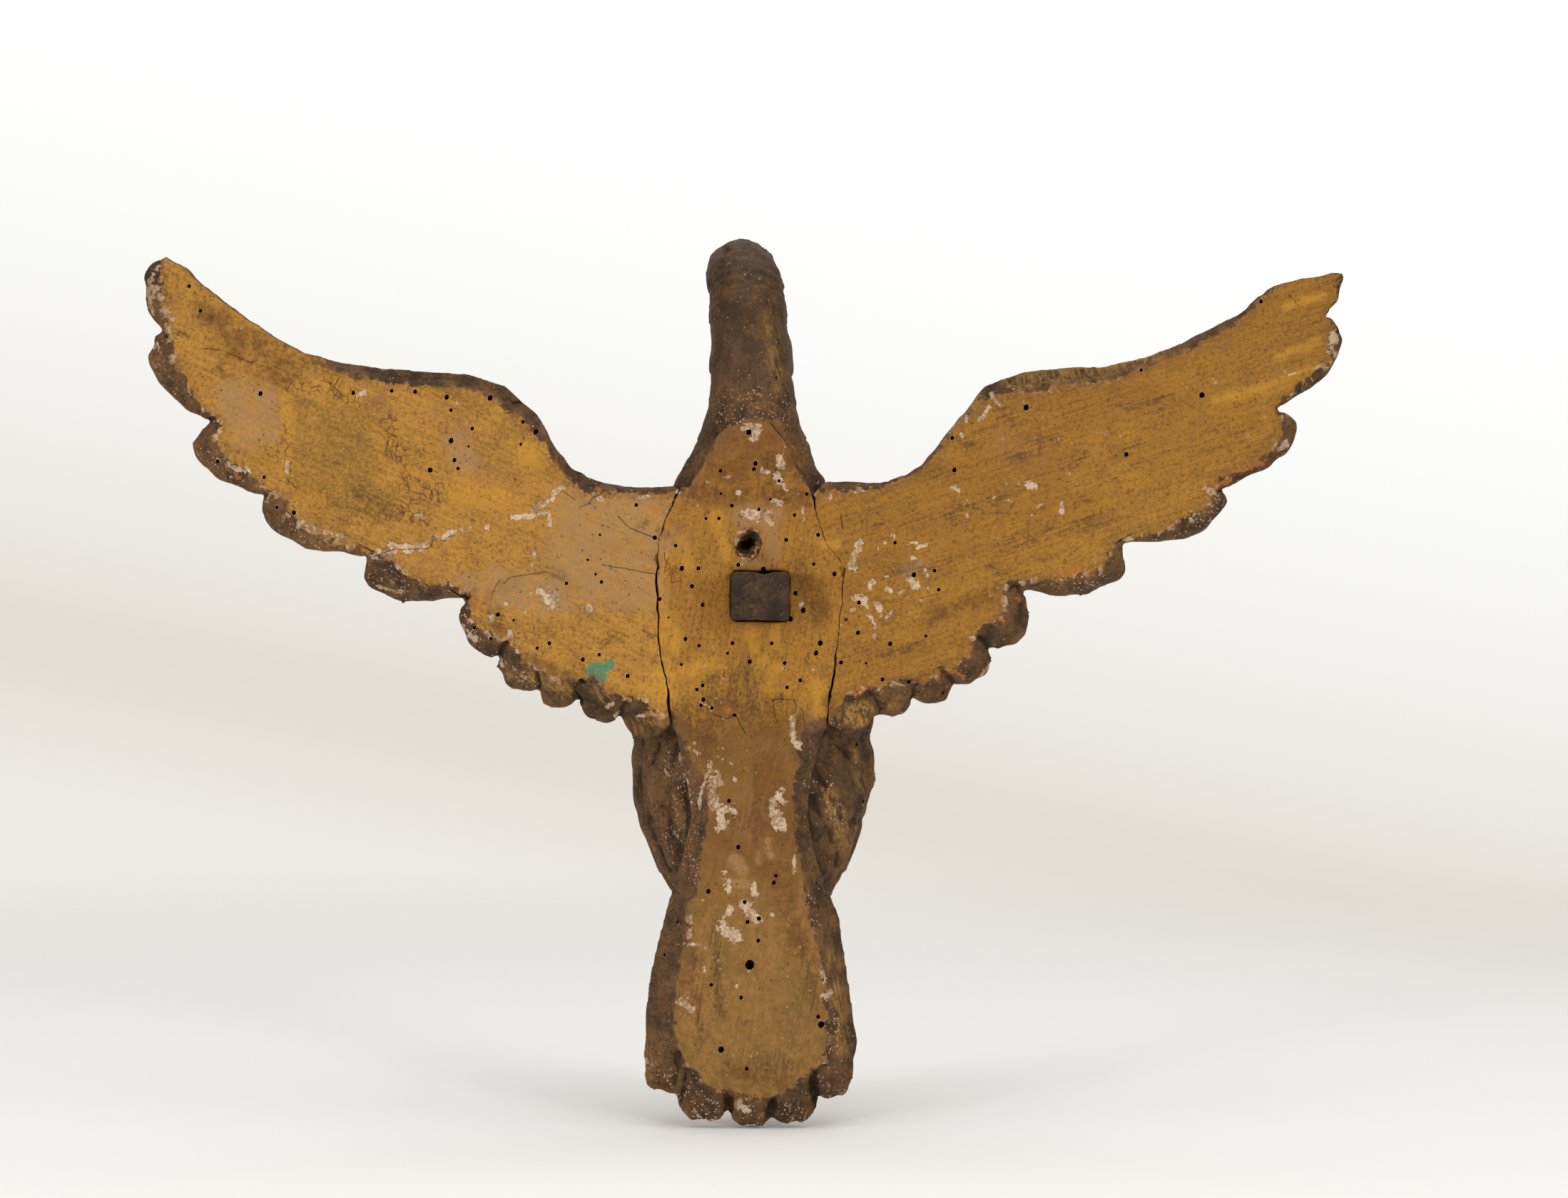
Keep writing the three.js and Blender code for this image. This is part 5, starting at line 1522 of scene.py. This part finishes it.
def painted_gilding(name, finish, ochre, streak_turn, tail=False):
    """Ochre paint on the flat back, and blackened gilding on everything else."""
    r = Recipe(name)
    broad, patches, medium = r.noise(9, 3), r.noise(26, 5, 0.6), r.noise(90, 5, 0.62)
    small, fine, grit = r.noise(210, 5, 0.68), r.noise(520, 4, 0.7), r.noise(1300, 3, 0.7)
    brush = r.noise(85, 5, 0.68, r.stretched((0.2, 1, 3.4), (0, streak_turn, 0)))
    hairs = r.noise(330, 4, 0.7, r.stretched((0.14, 1, 2.4), (0, streak_turn, 0)))
    streaks = r.noise(120, 5, 0.65, r.stretched((1, 1, 0.3)))
    scratches = r.noise(620, 3, 0.6, r.stretched((0.9, 1, 0.14), (0, 0.3, 0)))
    chunks, crumbs, dots = r.shards(330), r.shards(780), r.shards(1400)
    hollow, broad_hollow = r.attribute("hollow"), r.attribute("broad_hollow")
    facing, flecked = r.attribute("facing"), r.attribute("flecked")
    spots = patches * 0.4 + small * 0.6
    torn_crumbs = crumbs.torn((fine, 0.3))
    scratched = scratches * 0.6 + fine * 0.4

    # The ochre paint and its brush marks.
    paint = r.coats(
        ochre,
        (finish.yellow, 0.35, (broad * 0.5 + patches * 0.5).step(0.4, 0.62)),
        (finish.root_brown, 0.5, (patches * 0.4 + medium * 0.4 + fine * 0.2).step(0.44, 0.68)),
        (finish.olive, 0.45, brush.step(0.46, 0.74)),
        (finish.grime, 0.5, (hairs * 0.6 + fine * 0.4).step(0.47, 0.66)),
        (finish.reddish, 0.4, (small * 0.5 + medium * 0.5).step(0.5, 0.7)),
        (finish.grime, 0.4, fine.step(0.48, 0.68)),
        (finish.root_brown, 0.38, grit.step(0.5, 0.66)),
        (finish.yellow, 0.35, (grit * 0.5 + hairs * 0.5).step(0.46, 0.34)),
    )
    if tail:
        height = r.node("ShaderNodeSeparateXYZ", None, {"Vector": r.place}, output="Z")
        root = r.coats(
            finish.root_brown,
            (finish.tail_ochre, 1, (brush * 0.5 + medium * 0.5).step(0.42, 0.72)),
            (finish.grime, 0.4, fine.step(0.5, 0.66)),
            (finish.olive, 0.5, spots.step(0.44, 0.58)),
        )
        panel = r.coats(
            finish.tail_ochre,
            (finish.olive, 0.9, spots.step(0.38, 0.64)),
            (finish.root_brown, 0.5, (hairs * 0.5 + fine * 0.5).step(0.46, 0.66)),
        )
        below_root = height.torn((broad, 0.05)).step(-0.1, -0.15)
        below_peg = height.torn((broad, 0.03), (medium, 0.02)).step(-0.032, -0.044)
        under_neck = height.torn((medium, 0.04), (small, 0.02)).step(0.046, 0.1)
        paint = r.coats(
            paint,
            (r.blend(below_root, root, panel), 0.8, below_peg),
            (finish.root_brown, 0.5, under_neck),
        )

    # What time has done to the paint: stains, a fabric patch, crackle, repairs, dirt, losses and cracks; the
    # brown stains also hold the peg's painted shadow.
    browned = r.around("browned") * (medium * 0.4 + small * 0.6).step(0.34, 0.6)
    canvas = r.attribute("canvas").torn((medium, 1.4)).step(-0.05, 0.35)
    weave = r.cells(760, place=r.stretched((0.8, 1, 1.3), (0, 0.35, 0)))
    crackle = r.attribute("crackle").torn((small, 2.4)).step(0.0, 0.5)
    crackle = crackle * r.cells(260, "DISTANCE_TO_EDGE", r.stretched((1, 0.2, 0.8))).step(0.08, 0.02)
    repair = r.attribute("repair").torn((medium, 2.2), (chunks, 0.8), (fine, 1)).step(-0.3, 0.5)
    repair_colour = r.blend((small * 0.6 + crumbs * 0.4).step(0.36, 0.62) * 0.7, finish.filler, ochre)
    dirt = r.around("dirt", -0.9, 0.9) * (small * 0.3 + hairs * 0.4 + fine * 0.3).step(0.42, 0.58)
    clay_spots = r.attribute("bole").torn((small, 1.8), (crumbs, 1)).step(0.0, 0.4)
    green = r.attribute("green").torn((small, 1.2)).step(-0.15, 0.08)
    pores = r.cells(360).step(0.14, 0.08) * medium.step(0.45, 0.6)
    chip_field = r.attribute("loss").torn((chunks, 1), (crumbs, 0.6), (fine, 1.5))
    chips = chip_field.step(0.02, 0.1) | (torn_crumbs.step(0.975, 0.99) * patches.step(0.5, 0.6) * 0.8)
    chip_colour = r.coats(
        finish.gesso,
        (finish.filler, 1, (medium * 0.5 + fine * 0.5).step(0.42, 0.6)),
        (finish.brown_patina, 0.4, grit.step(0.5, 0.66)),
    )
    crack = abs(r.attribute("crack").torn((small, 0.6))).step(0.26, 0.08)
    crack = crack * r.attribute("crack_there").step(0.3, 0.8) * (medium * 0.5 + small * 0.5).step(0.36, 0.5)
    paint = r.coats(
        paint,
        (finish.yellow, 0.6, r.around("yellow") * (brush * 0.5 + small * 0.5).step(0.36, 0.6)),
        (finish.reddish, 0.55, r.around("reddish") * (small * 0.6 + fine * 0.4).step(0.38, 0.6)),
        # Brown stains in root brown with grime over them; to the right of the peg these two coats are the
        # peg's painted shadow.
        (finish.root_brown, 0.75, browned),
        (finish.grime, 0.5, browned * fine.step(0.46, 0.62)),
        (finish.olive, 1, canvas * (0.12 + weave.torn((small, 1)).step(0.45, 0.65) * 0.32)),
        (finish.grime, 0.75, crackle * small.step(0.36, 0.56)),
        (finish.filler, 0.4, r.around("repair", -1.0, 0.3) * (medium * 0.4 + fine * 0.6).step(0.36, 0.6)),
        (repair_colour, 0.5, repair),
        (finish.grime, 0.7, dirt),
        (finish.bole, 0.6, clay_spots),
        (r.blend(fine.step(0.48, 0.7) * 0.6, finish.green, finish.olive), 0.92, green),
        (finish.hole_dark, 0.7, pores),
        (finish.grime, 0.4, chip_field.step(-0.35, 0.0) * fine.step(0.4, 0.6)),
        (chip_colour, 0.85, chips),
        (finish.grime, 0.7, torn_crumbs.step(0.03, 0.015) * medium.step(0.4, 0.55)),
        (finish.hole_dark, 0.85, crack),
    )

    # The old gilding: black and brown patina, gold where it is rubbed, and clay on the ridges.
    ridge = hollow.step(0.02, -0.16)
    from_front = facing.step(0.1, -0.5)
    gold_mask = (streaks * 0.5 + medium * 0.3 + scratches * 0.4 + ridge * 0.12).step(0.66, 0.76)
    more_gold = (patches + ridge * 0.2 - broad_hollow * 0.25).torn((small, 0.5)).step(0.42, 0.62)
    gold_mask = (gold_mask * from_front) | (more_gold * from_front * 0.8)
    rubbed = (small * 0.3 + scratches * 0.5 + medium * 0.2 + ridge * 0.05).step(0.42, 0.6)
    golden = r.around("golden", -0.4, 0.6) * scratched.step(0.4, 0.56) * 0.75
    rubbed = (r.around("rubbed", -0.6, 0.9) * rubbed * 0.5) | golden
    clay = (ridge * 0.3 + small * 0.6 + crumbs * 0.2).torn((patches, 0.6)).step(0.84, 0.96) | clay_spots
    specks = dots.torn((fine, 0.4)) + ridge * 0.03 + r.around("specks", -0.7, 0.4) * 0.085
    orange = r.blend(0.55, chip_colour, finish.bole)
    ground = (ridge * 0.26 + fine * 0.5 + small * 0.3 + chunks * 0.2).torn((patches, 0.5)).step(0.86, 0.93)
    ground = (ground * (0.35 + flecked * 0.65)) | (chip_field.step(0.1, 0.3) * 0.85)
    gilt = r.coats(
        finish.patina,
        (finish.brown_patina, 1, (patches * 0.4 + medium * 0.4 + streaks * 0.2).step(0.4, 0.62)),
        (finish.patina, 0.5, small.step(0.5, 0.72)),
        (finish.hole_dark, 0.45, (fine * 0.7 + crumbs * 0.3).step(0.5, 0.66)),
        (finish.brown_patina, 0.45, (grit * 0.6 + chunks * 0.4).step(0.56, 0.74)),
        (finish.brown_patina, 0.5, scratched.step(0.48, 0.62) * r.around("rubbed", -1.0, -0.2)),
        (finish.gold, 0.8, gold_mask),
        (r.blend(grit.step(0.4, 0.6) * 0.6, finish.gold, finish.brown_patina), 1, rubbed),
        (finish.bole, 0.55, clay),
        (r.blend(medium.step(0.46, 0.56), chip_colour, orange), 0.75, specks.step(1.0, 1.03)),
        (chip_colour, 0.75, ground),
        (finish.hole_dark, 0.65, (hollow * 1.2 + broad_hollow * 0.35).torn((medium, 0.4)).step(0.15, 0.6)),
    )

    # The paint ends in a torn edge, with worn paint, pale flecks and clay beside it.
    edge = r.attribute("edge").torn((medium, 6), (small, 4), (fine, 3), (chunks, 1.8), (crumbs, 1.2))
    painted = edge.step(-0.4, 0.3)
    worn = edge.step(7, 0.0) * painted
    pale = edge.step(3, 0.5) * edge.step(-2.5, 0)
    pale = pale * (small * 0.4 + patches * 0.3 + chunks * 0.3).step(0.56, 0.62)
    paint = r.coats(
        paint,
        (finish.brown_patina, 0.7, worn * (small * 0.5 + fine * 0.5).step(0.4, 0.58)),
        (finish.bole, 0.45, worn * (fine * 0.5 + patches * 0.5).step(0.55, 0.62)),
    )
    colour = r.coats(gilt, (paint, 1, painted), (chip_colour, 0.5, pale * flecked))
    satin = 0.0
    if tail:
        splinters = r.noise(900, 4, 0.7, r.stretched((0.4, 0.15, 0.4), (0, 0.7, 0)))
        rim = r.attribute("knot_rim").torn((fine, 1.4), (small, 1)).step(-0.1, 0.4)
        core = r.attribute("knot_core").torn((small, 1.4), (fine, 0.8)).step(0.0, 0.25)
        knot = r.attribute("knot").torn((small, 0.5), (fine, 0.3)).step(0.0, 0.1)
        wood = r.coats(
            finish.hole_dark,
            (finish.bare_wood, 1, splinters.step(0.4, 0.6)),
            (finish.brown_patina, 0.6, medium.step(0.46, 0.6)),
            (r.blend(splinters.step(0.44, 0.56), finish.bole, finish.gesso), 0.65, rim),
            (finish.hole_dark, 1, core),
        )
        satin = height.torn((patches, 0.03)).step(0.1, 0.16) * (1 - painted)
        colour = r.coats(colour, (wood, 0.9, knot), (finish.patina, 0.45, satin * fine.step(0.7, 0.45)))

    metal = gold_mask * (1 - painted) * (1 - ground) * 0.6
    shine = gold_mask * -0.25 + 0.62 + painted * 0.25 - (fine - 0.5) * 0.3 - satin * 0.18
    relief = medium * 0.3 + fine * 0.4 + small * 0.4 + hairs * 0.3 * painted - chips * 0.4 - crack * 0.8
    relief = relief + scratches * 0.3 * (1 - painted) - crackle * 0.5 + canvas * weave * 0.4 + crumbs * 0.1
    return r.surface({
        "Base Color": colour, "Roughness": shine, "Metallic": metal,
        "Normal": r.bump(relief, 0.65, 0.0008), "Specular IOR Level": 0.16,
    })


def dark_hole(finish):
    """The dark, dusty inside of a beetle hole."""
    r = Recipe("Beetle Hole")
    colour = r.blend(r.noise(900, 3).step(0.45, 0.7) * 0.5, finish.hole_dark, finish.bare_wood)
    return r.surface({"Base Color": colour, "Roughness": 0.95, "Specular IOR Level": 0.1})


def peg_wood(finish):
    """Dark old wood with dirt, scratches and rubbed corners."""
    r = Recipe("Peg Wood")
    blots, fine = r.noise(110, 5, 0.65), r.noise(700, 4, 0.65)
    scratches = r.noise(620, 3, 0.6, r.stretched((0.25, 1, 1), (0, 0.8, 0)))
    crumbs = r.shards(700).torn((fine, 0.4))
    rubbed = (r.attribute("hollow").step(0.0, -0.2) * 0.4 + blots * 0.7).step(0.66, 0.86)
    colour = r.coats(
        finish.peg_dark,
        (finish.peg_brown, 1, blots.step(0.35, 0.65)),
        (finish.brown_patina, 0.4, scratches.step(0.58, 0.68)),
        (finish.peg_dark, 0.5, fine.step(0.52, 0.66)),
        (finish.root_brown, 0.6, crumbs.step(0.93, 0.97)),
        (finish.hole_dark, 0.5, crumbs.step(0.1, 0.06)),
        (finish.brown_patina, 0.35, rubbed),
    )
    relief = scratches * 0.4 + blots * 0.4 + fine * 0.4
    return r.surface({
        "Base Color": colour, "Roughness": 0.55 + blots * 0.3, "Specular IOR Level": 0.15,
        "Normal": r.bump(relief, 0.6, 0.0008),
    })


def finish_piece(piece, node):
    """Smooth shading, and the piece's place in the whole."""
    select_only(piece)
    bpy.ops.object.shade_smooth_by_angle(angle=math.radians(50))
    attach(piece, "root")
    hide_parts(node)


class SWAN_OT_carve_body(bpy.types.Operator):
    """Carve the body with its block, neck, head, breast and tail"""

    bl_idname = "swan.carve_body"
    bl_label = "Carve Body"

    def execute(self, context):
        sizes, finish = context.scene.swan_carving, context.scene.swan_finish
        barbs, seed = sizes.barb_depth / MM, sizes.seed
        piece = rough_out("body", "SwanBody", sizes.body_grain)
        skin = Skin(piece)
        carve_breast(skin, barbs)
        carve_neck(skin, barbs)
        carve_head(skin)
        carve_tail_front(skin, barbs)
        x, y, z = skin.points.T
        tail_end = smooth_step(*TAIL_TIPS, z) * smooth_step(*TAIL_END, z) * (y < 16)
        soften(skin, tail_end * (skin.normals[:, 1] < 0.3) * (np.abs(x) < 44), 14)
        nudge(skin, BODY_NUDGES)
        carve_flanks(skin, seed)
        carve_tool_marks(skin, sizes.tool_marks / MM, seed)
        round_tail_tips(skin)
        cut_creases(skin, TAIL_CREASES, 2.0, 2.2)
        tighten_joint(skin, LEFT_JOINT, seed - 1)
        tighten_joint(skin, RIGHT_JOINT, seed + 1)
        wear_back(skin, sizes.back_waves / MM, seed)
        carve_knot(skin, seed)
        shake(skin)
        gilding = painted_gilding("Block Gilding", finish, finish.block_ochre, math.radians(80), tail=True)
        piece.data.materials.append(gilding)
        holes = back_holes([*BLOCK_HOLES, NAIL_HOLE]) + stray_holes(skin, BODY_STRAYS, seed)
        drill(piece, holes, dark_hole(finish), seed)
        keep_marks(piece, BLOCK_PAINT)
        finish_piece(piece, "body")
        return {"FINISHED"}


class SWAN_OT_carve_wings(bpy.types.Operator):
    """Carve the two wings, which are jointed to the sides of the block"""

    bl_idname = "swan.carve_wings"
    bl_label = "Carve Wings"

    def execute(self, context):
        for wing in WINGS:
            self.carve(context.scene.swan_carving, context.scene.swan_finish, wing)
        return {"FINISHED"}

    @staticmethod
    def carve(sizes, finish, wing):
        """One of the two wings, from its solid to the finished piece."""
        side, outline, seed = wing["side"], wing["outline"], sizes.seed + wing["side"]
        piece = rough_out(wing["node"], wing["name"], sizes.wing_grain)
        skin = Skin(piece)
        carve_wing_front(skin, side, sizes.barb_depth / MM)
        carve_tool_marks(skin, sizes.tool_marks / MM, seed)
        soften(skin, smooth_step(*WING_TIP, np.abs(skin.points[:, 0])) * (skin.points[:, 1] < 14), 9)
        nudge(skin, wing["nudges"])
        if side > 0:
            level_tip(skin, TIP_EDGE)
        round_knobs(skin, side, outline)
        outside = -paint_depth(skin.points, outline)
        rim = smooth_step(0.5, 3.5, outside) * (skin.points[:, 1] < 15) * (skin.normals[:, 1] < 0.4)
        arm = line_distance(wing_pattern(skin.points, side), LEADING_EDGE)
        soften(skin, rim * smooth_step(10, 16, arm), 16)
        cut_creases(skin, wing["creases"], 1.5, 2.2)
        tighten_joint(skin, wing["joint"], seed)
        wear_back(skin, sizes.back_waves / MM, seed)
        shake(skin)
        ochre = finish.left_ochre if side < 0 else finish.right_ochre
        turn = math.radians(wing["streaks"])
        piece.data.materials.append(painted_gilding(wing["name"] + " Gilding", finish, ochre, turn))
        holes = back_holes(wing["holes"]) + stray_holes(skin, WING_STRAYS, seed)
        drill(piece, holes, dark_hole(finish), seed)
        keep_marks(piece, outline, LEADING_EDGE)
        finish_piece(piece, wing["node"])


class SWAN_OT_make_peg(bpy.types.Operator):
    """Make the square peg in the flat back"""

    bl_idname = "swan.make_peg"
    bl_label = "Make Peg"

    def execute(self, context):
        sizes, finish = context.scene.swan_carving, context.scene.swan_finish
        low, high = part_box("back_peg")
        centre, size = (low + high) / 2, high - low
        bpy.ops.object.select_all(action="DESELECT")
        bpy.ops.mesh.primitive_cube_add(size=1, location=centre, scale=size)
        piece = bpy.context.active_object
        piece.name = piece.data.name = "BackPeg"
        bpy.ops.object.transform_apply(location=True, rotation=True, scale=True)
        finish_modifier(piece, "BEVEL", width=PEG_BEVEL * MM, segments=3)
        finish_modifier(piece, "REMESH", mode="VOXEL", voxel_size=PEG_GRAIN * MM)
        finish_modifier(piece, "SMOOTH", factor=0.5, iterations=6)
        skin = Skin(piece)
        skin.push(0.5 * rough_noise(skin.points, (11, 20, 11), sizes.seed) - 0.3)
        skin.push(0.25 * rough_noise(skin.points, (3, 12, 3), sizes.seed + 4))
        x, y, z = skin.points.T
        notch = bell(x - 8, 3.5) * smooth_step(33.4, 34.8, z) * (y < 12)
        skin.points[:, 2] -= 1.2 * notch
        skin.write()
        skin.keep("hollow", skin.hollowness(4))
        piece.data.materials.append(peg_wood(finish))
        finish_piece(piece, "back_peg")
        return {"FINISHED"}


class SWAN_OT_set_stage(bpy.types.Operator):
    """Set the pale floor, the soft lights and the camera"""

    bl_idname = "swan.set_stage"
    bl_label = "Set Stage"

    def execute(self, context):
        stage = context.scene.swan_stage
        low = cad_box[0]
        bpy.ops.object.select_all(action="DESELECT")
        bpy.ops.mesh.primitive_circle_add(
            vertices=128, radius=stage.floor_radius, fill_type="NGON", location=(0, 0.3, low.z - 0.5 * MM)
        )
        floor = bpy.context.active_object
        floor.name = "Floor"
        bpy.ops.object.transform_apply(location=True, rotation=False, scale=False)
        floor.data.materials.append(self.floor_paper(stage))
        self.sky(context.scene, stage)
        for name, place, size, power in LIGHTS:
            bpy.ops.object.light_add(type="AREA", location=place)
            light = bpy.context.active_object
            light.name = name
            light.data.shape = "DISK"
            light.data.size = size
            light.data.energy = power
            aim = -light.location.normalized()
            light.rotation_euler = aim.to_track_quat("-Z", "Y").to_euler()
        bpy.ops.object.camera_add(location=stage.camera_place, rotation=(math.pi / 2, 0, 0))
        camera = bpy.context.active_object
        camera.data.lens = stage.lens
        camera.data.sensor_width = 36
        context.scene.camera = camera
        context.scene.view_settings.view_transform = "Standard"
        return {"FINISHED"}

    @staticmethod
    def floor_paper(stage):
        """White paper that fades into the surroundings towards its rim."""
        r = Recipe("Floor Paper")
        length = r.node("ShaderNodeVectorMath", {"operation": "LENGTH"}, {0: r.place}, output="Value")
        tooth = r.bump(r.noise(260, 3), 0.12, 0.001)
        paper = r.node("ShaderNodeBsdfPrincipled", None, {
            "Base Color": stage.floor_colour, "Roughness": 0.85, "Specular IOR Level": 0.2, "Normal": tooth,
        })
        clear = r.node("ShaderNodeBsdfTransparent")
        mixed = r.node("ShaderNodeMixShader", None, {
            0: length.step(0.4, stage.floor_radius * 0.9), 1: paper, 2: clear,
        })
        r.node("ShaderNodeOutputMaterial", None, {"Surface": mixed})
        return r.material

    @staticmethod
    def sky(scene, stage):
        """Pale surroundings that light the swan softly and look white high up behind it, with painted shade
        lower down and towards the left.
        """
        world = bpy.data.worlds.new("Pale Surroundings")
        r = Recipe(world.name, world)
        way = r.node("ShaderNodeTexCoord", output="Generated")
        aside = r.node("ShaderNodeSeparateXYZ", None, {"Vector": way}, output="X")
        height = r.node("ShaderNodeSeparateXYZ", None, {"Vector": way}, output="Z")
        stops = [(place, srgb(*colour)) for place, colour in SKY_STOPS]
        # Painted shade: the darker band near the horizon lies higher towards the left.
        colour = r.node("ShaderNodeValToRGB", {"stops": stops}, {0: (height + aside * 0.2 + 0.09) / 0.2})
        seen = r.node("ShaderNodeLightPath", output="Is Camera Ray")
        strength = seen * (1 - stage.sky_strength) + stage.sky_strength
        background = r.node("ShaderNodeBackground", None, {"Color": colour, "Strength": strength})
        r.node("ShaderNodeOutputWorld", None, {"Surface": background})
        scene.world = world


class SWAN_PT_panel(bpy.types.Panel):
    """The swan's makers in the sidebar"""

    bl_idname = "SWAN_PT_panel"
    bl_label = "Gilded Swan"
    bl_space_type = "VIEW_3D"
    bl_region_type = "UI"
    bl_category = "Swan"

    def draw(self, context):
        for settings in (context.scene.swan_carving, context.scene.swan_finish, context.scene.swan_stage):
            for key in settings.__annotations__:
                self.layout.prop(settings, key)
        for operator in OPERATORS:
            self.layout.operator(operator.bl_idname)


SETTINGS = {
    "swan_carving": SwanCarvingSettings,
    "swan_finish": SwanFinishSettings,
    "swan_stage": SwanStageSettings,
}
OPERATORS = [SWAN_OT_carve_body, SWAN_OT_carve_wings, SWAN_OT_make_peg, SWAN_OT_set_stage]
CLASSES = [*SETTINGS.values(), *OPERATORS, SWAN_PT_panel]


def register():
    for one in CLASSES:
        bpy.utils.register_class(one)
    for name, settings in SETTINGS.items():
        setattr(bpy.types.Scene, name, PointerProperty(type=settings))


def unregister():
    for name in SETTINGS:
        delattr(bpy.types.Scene, name)
    for one in reversed(CLASSES):
        bpy.utils.unregister_class(one)


def main():
    register()
    bpy.ops.swan.carve_body()
    bpy.ops.swan.carve_wings()
    bpy.ops.swan.make_peg()
    bpy.ops.swan.set_stage()


if __name__ == "__main__":
    main()
